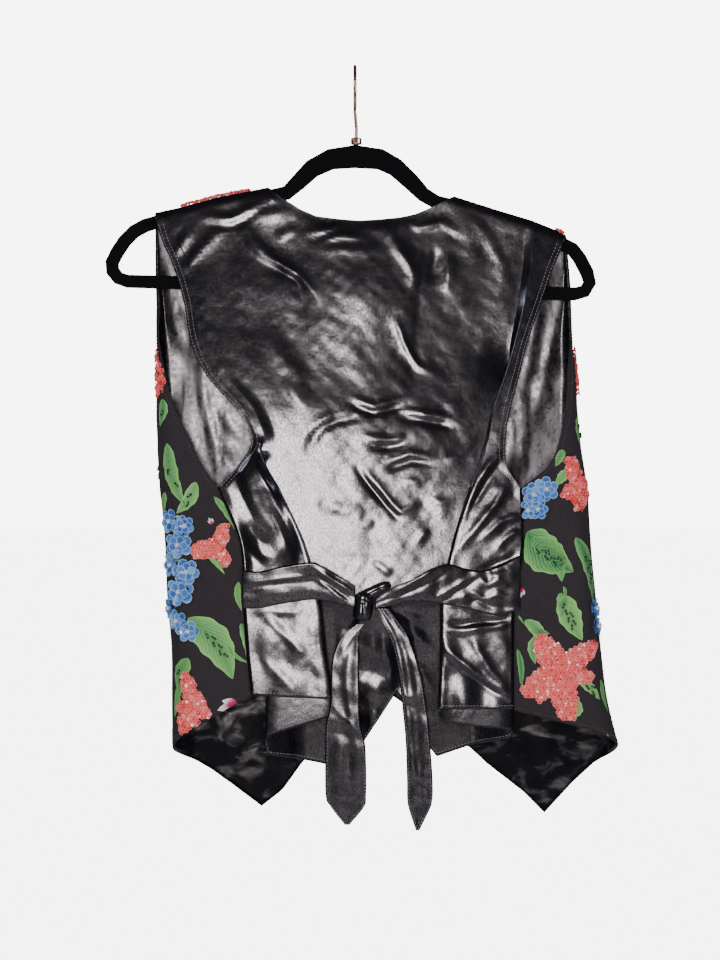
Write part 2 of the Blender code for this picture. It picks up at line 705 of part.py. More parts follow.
def make_hook():
    points = [(STEM_X, 0.0, COLLAR_TOP_Z + SEAT_GAP), (STEM_X, 0.0, STEM_BEND_Z - 4.0)]
    points.append((STEM_X / 2, -0.6, STEM_BEND_Z + 2.0))
    for k in range(HOOK_STEPS + 1):
        angle = blend(HOOK_FROM, HOOK_TO, k / HOOK_STEPS)
        points.append((0.0, HOOK_RADIUS * math.cos(angle), HOOK_CENTRE_Z + HOOK_RADIUS * math.sin(angle)))
    curve = bpy.data.curves.new("hook", "CURVE")
    curve.dimensions = "3D"
    curve.bevel_depth = WIRE_RADIUS * MM
    curve.bevel_resolution = 2
    curve.use_fill_caps = True
    wire = curve.splines.new("POLY")
    wire.points.add(len(points) - 1)
    for target, point in zip(wire.points, points):
        target.co = (*(Vector(point) * MM), 1.0)
    guide = bpy.data.objects.new("guide", curve)
    mesh = bpy.data.meshes.new_from_object(guide)
    bpy.data.objects.remove(guide)
    mesh.name = "hook"
    finish("hook", mesh, COPPER)


def make_collar():
    collar = finish("hook_collar", disc_mesh("hook_collar", COLLAR_RADIUS, COLLAR_HEIGHT, 20), COPPER)
    round_rims(collar, 1.2)
    collar.location = Vector((STEM_X, 0.0, COLLAR_TOP_Z - COLLAR_HEIGHT / 2)) * MM


def main():
    clear_scene()
    make_fronts()
    make_back()
    make_belt()
    make_knot()
    make_buttons()
    make_hanger()
    make_collar()
    make_hook()


main()
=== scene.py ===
"""Gives the waistcoat its cloth, folds, sequins, print, stitching and finishes.

The frame: +Z up, the back of the waistcoat faces -Y, and its wearer's left is at -X.
The tables below are in millimetres, as in the source of the part, and every mesh is made
in metres. Each piece's place is in its mesh, and its object stays at the origin.
"""

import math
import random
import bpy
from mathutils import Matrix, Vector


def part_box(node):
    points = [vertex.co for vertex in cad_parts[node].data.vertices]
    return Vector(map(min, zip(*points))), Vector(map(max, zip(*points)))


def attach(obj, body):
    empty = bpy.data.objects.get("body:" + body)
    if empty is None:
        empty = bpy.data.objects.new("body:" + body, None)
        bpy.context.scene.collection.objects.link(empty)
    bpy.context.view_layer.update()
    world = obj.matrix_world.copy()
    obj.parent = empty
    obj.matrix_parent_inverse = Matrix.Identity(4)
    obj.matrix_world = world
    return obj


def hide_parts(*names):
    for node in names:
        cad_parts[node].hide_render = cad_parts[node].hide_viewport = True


bl_info = {
    "name": "Tie-back waistcoat",
    "version": (1, 0, 0),
    "blender": (4, 5, 0),
    "location": "View3D > Sidebar > Waistcoat",
    "description": "Cloth, folds, sequins, print and stitching for a waistcoat on its hanger",
    "category": "Object",
}

import bmesh
import bpy
import numpy as np
from mathutils import Matrix, Vector

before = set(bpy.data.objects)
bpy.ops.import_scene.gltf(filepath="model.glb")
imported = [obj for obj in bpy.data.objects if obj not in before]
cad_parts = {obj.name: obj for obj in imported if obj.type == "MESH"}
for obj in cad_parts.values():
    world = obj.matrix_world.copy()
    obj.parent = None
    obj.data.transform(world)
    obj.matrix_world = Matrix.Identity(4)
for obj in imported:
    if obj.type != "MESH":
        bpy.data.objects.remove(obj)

MM = 0.001
BODY = "root"

# Cloth thicknesses and the gap at a seam, as in the solids
CREPE_WALL = 1.2
LINING_WALL = 1.0
LINING_GAP = 0.4
BACK_WALL = 1.2
BELT_WALL = 1.5
SEAM_GAP = 0.5

# The lie of the fronts: the underarm, the V neck's lower end, the centre front at both ends, and
# the lap of the right front, which stands out over the left one
UNDERARM_Z = -380.0
V_END_Z = -305.0
V_SAG = 7.0
CENTRE_TOP_X = 9.0
CENTRE_HEM_X = 18.0
CENTRE_HEM_Z = -552.0
LAP_HALF = 10.0
LAP_STEP = 3.4
LAP_FROM_Z = -200.0
LAP_OVER_Z = 60.0
LAP_FLAT = 22.0
LAP_FADE = 26.0

# Over the hanger's arms, and round the sides, where the fronts end behind the bar at first and
# turn all the way round below it
SHOULDER_ROUND = 6.5
ARM_RISE_AT_NECK = 0.25
SIDE_ROUNDNESS = 0.8
BEHIND_BAR_Y = 4.3
BEHIND_BAR_Z = -216.0
TURNS_OVER = 80.0
FULL_TURN = 3.0

# The back's two pulled-in folds. The left one is sharp where it starts and opens lower down.
FOLD_RADIUS = 2.0
FOLD_REACH = 8.0
SHARPEST_RADIUS = 0.8
FOLD_OPENS_Z = -335.0
FOLD_OPENS_OVER = 110.0
LYING = dict(l=0.93, r=0.5)

# Between the folds the back's depth is evened out over this height, and from this share of the
# width in from each fold
DEPTH_EVENED_OVER = 90.0
EVEN_FROM_L = 0.045
EVEN_FROM_R = 0.12

# Below the belt the back falls inward and is rumpled, less so at its sides
SKIRT_FROM_Z = -474.0
SKIRT_FALL = 16.0
SKIRT_FALL_OVER = 66.0
SKIRT_START_OVER = 12.0
SKIRT_FALLS_FROM = 0.15
SKIRT_RUMPLE = (2.6, 38.0, 31)
SKIRT_RUMPLE_OVER = 40.0
SKIRT_SHARE = dict(side_l=0.3, side_r=0.65)

# A rumple is its height, its size and its seed
BACK_RUMPLES = ((0.5, 46.0, 5), (0.16, 17.0, 9))
DEEPEST_TROUGH = -3.6
HIGHEST_RIDGE = 4.6
CREASE_SPREAD = 1.2
CREASE_TAPER = 0.6

# How far from an edge, a seam or a fold the back's cloth may rise freely
FREE_UNDER_NECK = 10.0
FLAT_UNDER_ARM = 6.0
FREE_UNDER_ARM = 14.0
FREE_BESIDE_FOLD = 26.0
FREE_BESIDE_SEAM = 9.0
BACK_CREASES_END_Z = -330.0
BACK_CREASES_END_OVER = 60.0

# The crepe's slow swell, and how a lining stands inward, above and below the bar's height
SWELL_HIGH = 0.45
SWELL_SIZE = 88.0
SWELL_FROM_Z = -150.0
SWELL_OVER = 60.0
LINING_FULLER = 1.6
LINING_CLEAR_OF_BAR = 3.2
LINING_ROOM_BELOW = 4.0
LINING_RUMPLE_SIZE = 40.0
LINING_STILL_ROWS = 8.0
LINING_WRAP_SHARE = 0.3

# The belt and its ends have two slight ridges each. The ends hang calmer than the belt lies, and
# narrow stretches are creased less.
STRIP_RIDGE = 0.18
STRIP_RUMPLE = (0.25, 22.0, 31)
STRIP_CREASED_FROM = 16.0
STRIP_TROUGH = -0.9
STRIP_HIGHEST = 2.4
TIE_CALM = 0.55

# Fine grids: the levels at which sections are worked out, each piece's rows and columns, and the
# marks by which a place round a front is found
LEVEL_STEP = 2.0
LOWEST_LEVEL = -690.0
HIGHEST_LEVEL = -100.0
TOP_DROPS = (0.0, 0.3, 0.9, 1.8, 3.0, 4.6, SHOULDER_ROUND)
BACK_ROWS_ABOVE = 84
BACK_ROWS_BELOW = 92
BACK_SIDE_COLUMNS = 24
FOLD_STEPS = 22
FOLD_TURN_STEPS = 8
SHOULDER_COLUMNS = 14
SCOOP_COLUMNS = 72
FRONT_ROWS_ABOVE = 54
FRONT_ROWS_BELOW = 56
FRONT_FAR_COLUMNS = 44
FRONT_WRAP_COLUMNS = 40
STRIP_COLUMNS = 18
STRIP_ROWS_EACH = 9
MARKS_FROM = -190.0
MARKS_TO = 300.0
MARK_STEP = 1.5
MARK_WRAP_COLUMNS = 120
MARK_FAR_COLUMNS = 90

# The sections from the top down: a height; the x of the left side, front edge, seam and fold, and
# how far the fold is pulled in; the same on the right, from the fold outward; the y of the near
# face and of the far one
SECTION_COLUMNS = ("z", "side_l", "front_l", "back_l", "fold_l", "tuck_l",
                   "fold_r", "tuck_r", "back_r", "front_r", "side_r", "near", "far")
SECTIONS = [dict(zip(SECTION_COLUMNS, row)) for row in (
    (-100, -181, -181, -181, -165, -8, 168, -8, 191, 191, 191, -4.8, 4.8),
    (-131, -181, -181, -181, -165, -8, 167, -8, 191, 191, 191, -4.8, 4.8),
    (-155, -180.5, -180.5, -175, -159, -8, 159, -6, 189.5, 191, 191.5, -5.2, 5.5),
    (-180, -180, -180, -164, -149, -8, 157, -5, 179.5, 192.5, 193, -6.2, 7),
    (-210, -179, -178.8, -155, -141, -8, 152.5, -4, 169, 194, 194.5, -8, 10),
    (-250, -178.5, -176, -147.5, -134, -8, 143, -1, 155, 193.5, 196, -11, 13),
    (-280, -178.5, -170, -133, -121, -8, 134, 5, 147.5, 191, 199, -13.5, 15.5),
    (-310, -178.5, -161, -106.5, -98, -8, 123.5, 10, 139.5, 189, 200, -16, 17.5),
    (-338, -177, -147, -93, -87, -5, 117.5, 13, 135, 183, 202.5, -18, 19),
    (-360, -176, -137, -105, -80, 9, 110.5, 21, 136.5, 174, 205.5, -19.5, 20),
    (-380, -175, -123, -123, -68.5, 21, 103, 31, 149.5, 149.5, 208.5, -21, 21),
    (-430, -170.5, -103, -103, -45.5, 37, 87.5, 46, 151, 151, 212, -23, 22),
    (-485, -168, -100, -100, -31, 46, 77, 54, 143, 143, 217, -24, 22.5),
    (-525, -164.5, -97, -97, -27, 51, 77, 58, 142, 142, 220.5, -24.5, 23),
    (-568, -164, -93, -93, -21, 54, 75.5, 61, 142, 142, 226, -25, 24),
    (-620, -164, -91, -91, -21, 55, 75, 62, 142, 142, 239, -25.5, 25),
)]

# The top edge of the back, x and z: shoulder tip, neck point, scoop, neck point, tip
NECK_POINT_L = (-79.0, -108.0)
NECK_POINT_R = (90.0, -116.0)
SHOULDER_L = ((-181, -131), (-158, -126), (-125, -117), NECK_POINT_L)
SCOOP = (NECK_POINT_L, (-65, -118), (-49, -128), (-35, -134), (-15, -136.5), (3, -138),
         (21, -137), (41, -135), (55, -132), (69, -126), (79, -121), NECK_POINT_R)
SHOULDER_R = (NECK_POINT_R, (131, -129), (161, -138), (183, -147), (191, -152))

# A hem's point is how far along its stretch of cloth it lies, from 0 to 1, and its height.
# The back's stretches run from the left seam to the right one.
BACK_HEM = dict(
    side_l=((0, -565), (0.35, -567), (1, -569)),
    fold_l=((0, -569), (0.15, -572), (0.6, -600), (1, -619)),
    middle=((0, -620), (0.1, -624), (0.22, -629), (0.30, -634), (0.38, -615),
            (0.535, -563), (0.66, -612), (0.70, -623), (0.82, -614), (1, -605)),
    fold_r=((0, -605), (0.5, -594), (1, -578.5)),
    side_r=((0, -578), (1, -578)),
)
# A front's stretches run from the centre front out to the side, and on to the seam.
FRONT_HEM_L = dict(
    far=((0, -552), (0.45, -631), (0.56, -657), (0.67, -672), (0.82, -652), (0.93, -638), (1, -631)),
    wrap=((0, -631), (0.25, -618), (0.5, -600), (1, -566)),
)
FRONT_HEM_R = dict(
    far=((0, -552), (0.45, -617), (0.53, -633), (0.69, -659), (0.78, -678), (0.91, -649), (1, -632)),
    wrap=((0, -632), (0.25, -612), (0.5, -597), (1, -579)),
)
# Where the lowest point of each front's hem is, as a share of its far stretch
HEM_POINT_L = 0.67
HEM_POINT_R = 0.78

# The belt's two bands, from the seam to the knot, and the two hanging ends. A row is a
# station: its place along the strip, its two edges, the depth of its middle, and how far its
# upper edge leans out.
BELT_L = (
    (-100.5, -488, -453.5, -26.0, 1.8), (-85, -487.5, -454.5, -26.2, 2.4),
    (-65, -483.5, -450, -26.2, 2.8), (-40, -480, -446.5, -26.2, 2.8), (-30, -480.5, -450, -26.4, 2.4),
    (-18, -482.5, -456.5, -26.8, 1.4), (0.5, -487, -467.5, -27.0, 0),
)
BELT_R = (
    (148, -489, -440, -26.2, 0), (129, -494, -449, -26.4, 0), (113, -491.5, -454, -26.2, 0),
    (99, -488, -452, -26.2, 0.6), (83, -485, -448, -26.2, 1.6), (68, -482, -452.5, -26.4, 2.6),
    (53, -481, -461.5, -26.6, 2.8), (37, -484, -468, -26.8, 2.0), (17.8, -489, -479, -27.0, 0),
)
TIE_L = (
    (-501.5, 1, 10, -28.0, 0), (-510, -9, 4, -28.4, 0), (-523, -17, 3.5, -28.8, 0),
    (-540, -21, 3.5, -29.0, 1.0), (-572, -22, 4, -29.0, 1.2), (-592, -26, 5, -28.8, 1.2),
    (-612, -26.5, 9.5, -28.4, 1.8), (-654, -26.3, 10, -27.6, 2.0), (-665, -21.5, 8, -27.4, 1.6),
    (-681, -9, -5, -27.2, 0),
)
TIE_R = (
    (-487, 17.9, 29, -29.6, 0), (-507, 28, 44, -29.4, 0), (-524, 34.5, 51.5, -29.2, 1.0),
    (-549, 39.5, 59, -29.0, 1.5), (-578, 42.6, 64, -28.6, 1.5), (-607, 45.3, 67, -28.2, 1.5),
    (-640, 46.4, 69.4, -27.8, 1.8), (-660, 46.8, 69.0, -27.4, 1.6), (-673, 50, 64, -27.2, 0),
    (-686, 54.5, 57.5, -27.0, 0),
)

# The knot and its loop: middle, half sizes, turn in degrees, start of the pleats, and fullness
KNOT = ((7.8, -28.2, -486.0), (8.3, 5.6, 12.8), 8, 0.0, 4.0)
KNOT_LOOP = ((18.0, -28.0, -472.2), (5.4, 3.0, 15.5), 66, 1.1, 2.4)

# A crease is its height, how wide it is, and then the x and z of each point of its line on the
# cloth. A trough's height is below 0.
BACK_CREASES = (
    (2.2, 4, -74.3, -118.2, -85.2, -122.8, -100.6, -131.8, -107.8, -136.4, -117.8, -138.2, -131.4,
     -134.5, -145, -129.1),
    (-1.5, 3.2, -71.6, -123.7, -84.3, -127.3, -97.8, -136.4, -107.8, -141.8, -118.7, -143.6, -133.2,
     -140),
    (1.6, 3.2, -98.8, -125.5, -87.9, -120, -79.7, -118.2, -70.7, -119.1),
    (1.8, 4.5, -113.2, -138.2, -127.7, -153.6, -142.2, -169, -153.1, -181.7),
    (1.4, 4, -145.9, -146.3, -154.9, -158.1, -164, -170.8),
    (1.2, 5.5, -101.5, -133.6, -84.3, -133.6, -58.9, -131.8),
    (1.5, 3, -71.6, -155.4, -63.4, -150.8, -55.3, -146.8),
    (2.8, 4.2, -107.8, -139.1, -99.2, -148.1, -89.7, -160.8, -78.8, -171.7, -65.2, -179.8, -53.5, -186.2,
     -42.6, -197.1, -33.5, -208.8),
    (-1.6, 3.4, -87.9, -169.9, -77, -178, -64.3, -186.2, -52.5, -192.5, -44.4, -202.5),
    (1.6, 3, -45.6, -151.3, -35.3, -149, -23.6, -146.3, -10.9, -140),
    (1.8, 3.2, -33.5, -161.7, -24.5, -155.4, -15.4, -152.7, -4.5, -153.1, 6.3, -154.5),
    (1.2, 6, -36.2, -166.3, -20.8, -164.4, -2.7, -165.3, 19, -165.3),
    (1.7, 3, 49.8, -138.2, 53.5, -142.7, 57.1, -145.4, 68, -142.7, 77.9, -140.9, 86.1, -145.4, 93.3,
     -149.9),
    (1.7, 5.5, 26.3, -146.3, 31.7, -152.7, 39.9, -165.3, 47.1, -175.3, 51.6, -184.4, 53.5, -200.7),
    (-1.8, 6, 74.3, -162.6, 71.6, -178.9, 68, -197.1),
    (1.3, 3.6, 85.2, -168.1, 84.3, -184.4, 83.4, -202.5),
    (1.4, 3, 129.6, -143.6, 145, -141.8, 159.5, -141.8, 164.9, -145.4),
    (1.3, 4, 104.2, -132.7, 120.5, -155.4, 131.4, -175.3, 135.9, -200.7),
    (1.8, 3, 37.1, -227.9, 42.6, -244.2, 46.2, -252.3, 51.6, -262.3, 56.2, -269.5, 63.4, -273.2, 69.8,
     -275.9),
    (1.0, 5, -62.5, -265.9, -60.7, -286.7, -53.5, -298.5, -42.6, -308.5),
    (-2.3, 3.2, -5.4, -304, 2.7, -308.5, 16.3, -312.6, 29.9, -309.4, 46.2, -304),
    (1.5, 3, -2.7, -298.5, 8.2, -304, 19, -307.1, 33.5, -303.5, 48, -299.4),
    (-2.3, 3.2, -42.6, -343.8, -36.2, -333, -29, -325.7, -17.2, -320.3, -4.5, -318, 6.3, -316.6),
    (1.5, 3, -47.1, -340.2, -39.9, -328.4, -30.8, -320.7, -19.9, -315.7, -8.2, -313.5),
    (-2.4, 3.4, 41.7, -316.6, 54.4, -318.5, 66.1, -320.7, 78.8, -323, 91.5, -325.7),
    (1.7, 3, 45.3, -311.7, 58.9, -313.5, 73.4, -315.7, 87.9, -319.4),
    (-2.2, 3.6, 10, -340.2, 18.1, -342.5, 28.1, -343.4, 38.1, -342, 46.2, -339.3),
    (1.8, 3.2, 8.2, -333.9, 18.1, -336.1, 28.1, -337.5, 37.1, -337, 45.3, -333.9),
    (-2.2, 3.4, 28.1, -362.9, 39, -359.7, 49.8, -355.6, 58.9, -356.5, 70.7, -359.2),
    (1.8, 3, 26.3, -357.4, 38.1, -354.7, 48.9, -350.2, 59.8, -351.5, 71.6, -353.8),
    (1.7, 3.4, 79.7, -353.8, 87, -354.7, 94.2, -350.2, 102.4, -342, 109.6, -333),
    (5.0, 60, -50, -212, 0, -206, 60, -212),
    (1.5, 3.2, 42.6, -376.4, 50.7, -374.2, 59.8, -376.4),
    (-2.2, 3.2, 1.8, -363.8, 10, -374.6, 19.9, -386.4, 29, -397.3, 39, -408.2),
    (1.6, 3.2, 6.3, -361.9, 15.4, -372.8, 25.4, -384.6, 34.4, -395.5, 41.7, -401.8, 51.6, -396.4, 58.9,
     -390.9),
    (1.5, 7, -33.5, -399.1, -20.8, -397.3, -6.3, -399.1, 10, -403.6),
    (1.2, 5, -4.5, -409.1, 6.3, -412.7, 17.2, -410.9),
    (1.3, 3.2, 68.9, -390, 77.9, -393.7, 87.9, -391.8),
    (1.3, 3.4, 53.5, -428.1, 59.8, -423.6, 66.1, -418.1),
    (-0.35, 2, -42.6, -443.5, -13.6, -443.5, 22.7, -443, 66.1, -443.5),
    (1.4, 9, -84.3, -236.9, -71.6, -255, -53.5, -275, -49.8, -300.3),
    (1.5, 4, 15.4, -445.3, 26.3, -453.5, 33.5, -458),
    (2.0, 5, 18.1, -504.2, 24.5, -517.8, 29.9, -539.5, 33.5, -563.1),
    (1.8, 5, 48, -497.8, 55.3, -510.5, 68, -523.2, 77, -532.3),
    (2.0, 4.5, 37.1, -492.4, 49.8, -497.8, 62.5, -499.7, 73.4, -501.5),
    (1.8, 5, -8.2, -506.9, -11.8, -526.8, -13.6, -554, -9.1, -572.1),
    (1.6, 4, 58.9, -543.1, 68, -555.8, 73.4, -572.1),
    (1.5, 5, -22.7, -497.8, -26.3, -517.8, -22.7, -539.5),
)

SIDE_R_CREASES = (
    (2.0, 4.5, 135, -347.5, 122.3, -357.4, 110.5, -371.9, 100.6, -393.7, 95.1, -414.5),
    (-2.0, 4, 131.4, -356.5, 120.5, -371, 107.8, -390.9, 98.8, -409.1),
    (2.2, 4, 138.6, -370.1, 126.8, -393.7, 104.2, -420.8, 87.9, -438.1),
    (2.0, 3, 152.2, -407.2, 142.2, -406.3, 131.4, -410, 122.3, -418.1, 109.6, -428.1),
    (1.8, 2.6, 153.1, -421.7, 142.2, -419.9, 133.2, -427.2, 125.9, -436.2),
    (-2.0, 3, 151.3, -436.2, 135, -445.3, 120.5, -450.7, 107.8, -455.3),
    (1.6, 2.6, 150.4, -442.6, 136.8, -449.8, 124.1, -455.3),
    (-2.4, 2.6, 80.6, -501.5, 95.1, -503.3, 111.4, -500.6, 127.7, -499.7, 141.3, -495.1),
    (2.2, 2.8, 81.5, -506.9, 95.1, -507.8, 111.4, -505.1, 127.7, -503.3, 141.3, -500.6),
    (1.6, 2.6, 82.4, -487, 93.3, -481.5, 104.2, -488.8, 116.9, -483.4, 129.6, -490.6, 141.3, -485.2),
    (2.6, 3, 75.2, -514.2, 82.4, -525, 92.4, -534.1, 107.8, -545.9, 124.1, -556.7, 141.3, -566.7),
    (-2.0, 3, 77.9, -523.2, 87.9, -535, 102.4, -547.7, 118.7, -558.5, 133.2, -567.6),
    (1.8, 3.6, 104.2, -512.3, 111.4, -526.8, 120.5, -543.1, 133.2, -557.6, 141.3, -564.9),
)

SIDE_L_CREASES = (
    (9.0, 26, -104, -376, -88, -370, -66, -366),
    (-7.6, 26, -104, -440, -80, -436, -50, -436),
    (-2.0, 5, -76, -398, -66, -418, -58, -440),
    (2.0, 3.6, -101.5, -425.4, -96, -434.4, -89.7, -442.6, -82.4, -449.8),
    (-1.6, 5, -98.8, -409.1, -87.9, -425.4, -77, -441.7),
    (1.2, 5, -104.2, -363.8, -95.1, -383.7, -87.9, -401.8),
    (1.2, 4, -84.3, -363.8, -75.2, -383.7, -64.3, -409.1, -53.5, -434.4),
    (1.3, 5, -95.1, -492.4, -80.6, -488.8, -64.3, -490.6, -44.4, -488.8),
    (1.4, 4.5, -80.6, -492.4, -69.8, -505.1, -55.3, -519.6, -42.6, -530.5),
    (1.2, 4.5, -84.3, -526.8, -75.2, -539.5, -62.5, -550.4, -53.5, -563.1),
    (1.0, 5, -39, -492.4, -37.1, -517.8, -33.5, -543.1, -28.1, -563.1),
)

LINING_L_CREASES = (
    (2.2, 2.6, -140.6, -265.9, -138.6, -282.2, -137.3, -300.3, -132.3, -322.1, -125.9, -352.9, -120.5,
     -377.3),
    (2.0, 7, -165.8, -175.3, -158.6, -209.7, -144.1, -246, -135, -275),
    (1.8, 5, -171.2, -164.4, -169.4, -200.7, -162.2, -236.9, -147.7, -265.9),
    (1.6, 3.4, -154.9, -209.7, -140.4, -236.9, -122.3, -256.9, -106, -282.2, -98.8, -309.4),
    (1.8, 3.4, -135, -300.3, -122.3, -309.4, -111.4, -325.7, -100.6, -336.6),
    (1.6, 3.4, -129.6, -336.6, -118.7, -342, -107.8, -351.1),
    (1.5, 6, -131.4, -581.2, -116.9, -599.3, -96.9, -615.6, -84.3, -635.6),
    (1.5, 5, -84.3, -572.1, -78.8, -595.7, -84.3, -619.3),
)

LINING_R_CREASES = (
    (2.0, 2.6, 153.1, -289.5, 154, -309.4, 153.1, -336.6, 149.5, -371),
    (2.0, 6, 172.1, -164.4, 167.6, -209.7, 158.6, -255, 151.3, -293.1),
    (1.6, 5, 185.7, -209.7, 178.5, -255, 167.6, -300.3, 156.7, -336.6),
    (1.5, 3.4, 149.5, -300.3, 144.1, -327.5, 140.4, -354.7, 142.2, -376.4),
    (1.5, 6, 131.4, -586.6, 149.5, -604.8, 164, -626.5),
    (1.4, 5, 185.7, -592.1, 174.9, -610.2, 173, -635.6),
)

BELT_CREASES = (
    (1.4, 2, -100.6, -465.2, -84.3, -463.4, -58.9, -460.7, -39.9, -458.9),
    (-1.0, 1.6, -100.6, -468.9, -77, -466.1, -39.9, -462.5),
    (1.4, 1.8, -37.1, -450.7, -26.3, -458, -11.8, -467, 2.7, -477),
    (-1.2, 1.8, -38.1, -456.2, -28.1, -463.4, -13.6, -474.3, -2.7, -481.5),
    (1.3, 1.6, -33.5, -461.6, -22.7, -468.9, -10, -479.7),
    (1.6, 1.8, 69.8, -480.6, 83.4, -472.5, 96.9, -464.3, 110.5, -456.2),
    (-1.2, 1.8, 73.4, -483.4, 87, -475.2, 100.6, -467, 114.2, -458.9),
    (1.4, 2, 33.5, -473.4, 46.2, -467, 62.5, -458, 80.6, -448),
    (-1.2, 2.2, 35.3, -478.8, 51.6, -471.6, 68, -463.4, 82.4, -455.3),
    (1.6, 2.2, 111.4, -459.8, 118.7, -467, 127.7, -461.6, 138.6, -468.9),
    (1.5, 2.2, 93.3, -477.9, 104.2, -472.5, 115.1, -479.7, 127.7, -474.3, 142.2, -481.5),
    (-1.3, 2.2, 96.9, -485.2, 109.6, -479.7, 122.3, -487, 136.8, -485.2),
    (1.5, 2.2, 116.9, -447.1, 124.1, -454.4, 135, -450.7, 144.1, -456.2),
)

TIE_CREASES = (
    (1.5, 3, -21.7, -572.1, -11.8, -583, -2.7, -592.1, 6.3, -602),
    (1.2, 4, -2.7, -517.8, -8.2, -545, -6.3, -572.1, -0.9, -599.3),
    (1.0, 3.4, -13.6, -615.6, -8.2, -635.6, -6.3, -662.7),
    (1.4, 2.4, 0.9, -505.1, -5.4, -517.8, -11.8, -528.7),
    (1.4, 3, 24.5, -492.4, 35.3, -517.8, 42.6, -550.4, 46.2, -577.6, 49.8, -608.4),
    (1.2, 2.6, 40.8, -563.1, 48, -566.7, 58.9, -564.9),
    (-1.0, 2.4, 40.8, -570.3, 49.8, -573, 59.8, -571.2),
    (1.2, 3, 49.8, -612, 53.5, -635.6, 55.3, -662.7),
    (-1.0, 2.4, 26.3, -496, 33.5, -517.8, 39, -543.1, 41.7, -572.1),
)

# The strips: name, stations, whether it lies level, whether its faces are flipped, its creases,
# and its size laid flat and its area in metres
STRIPS = (
    ("belt_left", BELT_L, True, False, BELT_CREASES, (0.037, 0.105), 0.0033),
    ("belt_right", BELT_R, True, True, BELT_CREASES, (0.049, 0.134), 0.0043),
    ("tie_end_left", TIE_L, False, True, TIE_CREASES, (0.038, 0.183), 0.0052),
    ("tie_end_right", TIE_R, False, True, TIE_CREASES, (0.025, 0.203), 0.0042),
)

# Print and trim. A leaf is its place on the near side (x, z), the way it points in degrees,
# its length, its width, its bend, and how many tube beads lie on it.
LEAVES_L = (
    (-172, -300, 262, 25, 9, 2, 1), (-168, -340, 285, 62, 12, -4, 2), (-142, -375, 235, 34, 12, 3, 2),
    (-127, -388, 300, 34, 6, 2, 0), (-169, -384, 250, 30, 9, -2, 0),
    (-149, -496, 304, 66, 31, 6, 6), (-113, -521, 322, 26, 3.5, -3, 0),
    (-149, -532, 258, 36, 15, -4, 2), (-102, -501, 278, 38, 11, 3, 0), (-159, -560, 266, 26, 8, 2, 0),
    (-166, -598, 250, 16, 14, 0, 0), (-104, -464, 275, 26, 6, -2, 0), (-131, -441, 312, 22, 4, 1, 0),
    (-152, -413, 262, 20, 9, 0, 1), (-163, -424, 250, 18, 10, 2, 0),
)
LEAVES_R = (
    (203, -312, 262, 34, 14, -3, 2), (197, -270, 282, 26, 9, 2, 1), (187, -346, 236, 18, 7, 0, 0),
    (190, -364, 226, 20, 8, 0, 0), (154, -420, 318, 52, 36, -5, 5), (158, -424, 300, 46, 22, 8, 2),
    (197, -424, 282, 60, 14, 5, 5), (184, -474, 262, 22, 12, 3, 1), (187, -476, 286, 42, 21, -3, 5),
    (186, -468, 275, 10, 3, 0, 0), (153, -498, 300, 26, 12, 4, 0), (156, -508, 352, 18, 6, 1, 0),
    (163, -512, 262, 26, 9, -3, 0), (146, -524, 268, 36, 5.5, 2, 0), (199, -552, 312, 24, 9, 2, 3),
    (199, -568, 240, 22, 13, 2, 0), (224, -600, 262, 24, 4, 3, 0), (146, -494, 300, 9, 2, 0, 0),
    (219, -552, 275, 30, 6, -2, 0),
)
# On the hidden side a place is the distance round the cloth from its side edge, and z.
FAR_LEAVES_L = (
    (40, -190, 292, 44, 20, 5, 3), (92, -240, 250, 40, 18, -4, 3), (30, -330, 300, 58, 24, 5, 5),
    (110, -350, 245, 44, 20, 3, 3), (70, -420, 285, 52, 22, -5, 4), (140, -460, 262, 40, 16, 3, 2),
    (36, -470, 240, 42, 17, 4, 2), (100, -520, 300, 56, 24, -4, 5), (46, -560, 262, 38, 15, 3, 2),
    (120, -590, 250, 30, 12, -2, 1), (150, -400, 300, 30, 10, 2, 0), (62, -262, 230, 30, 9, 2, 0),
    (150, -530, 232, 36, 12, 3, 1), (24, -246, 255, 34, 12, 3, 1),
)
FAR_LEAVES_R = (
    (46, -200, 288, 48, 21, -5, 4), (100, -262, 300, 42, 18, 4, 2), (34, -300, 255, 46, 20, 4, 3),
    (120, -330, 240, 46, 22, 5, 4), (64, -380, 295, 54, 23, 4, 5), (150, -400, 265, 40, 14, -3, 1),
    (30, -440, 262, 44, 18, -3, 3), (110, -470, 250, 52, 22, 4, 4), (54, -520, 300, 46, 19, 3, 3),
    (140, -550, 285, 40, 16, -4, 2), (90, -590, 255, 36, 14, 3, 1), (160, -480, 232, 30, 10, 2, 0),
    (70, -160, 250, 32, 13, 2, 1), (20, -370, 276, 28, 9, -2, 0),
)

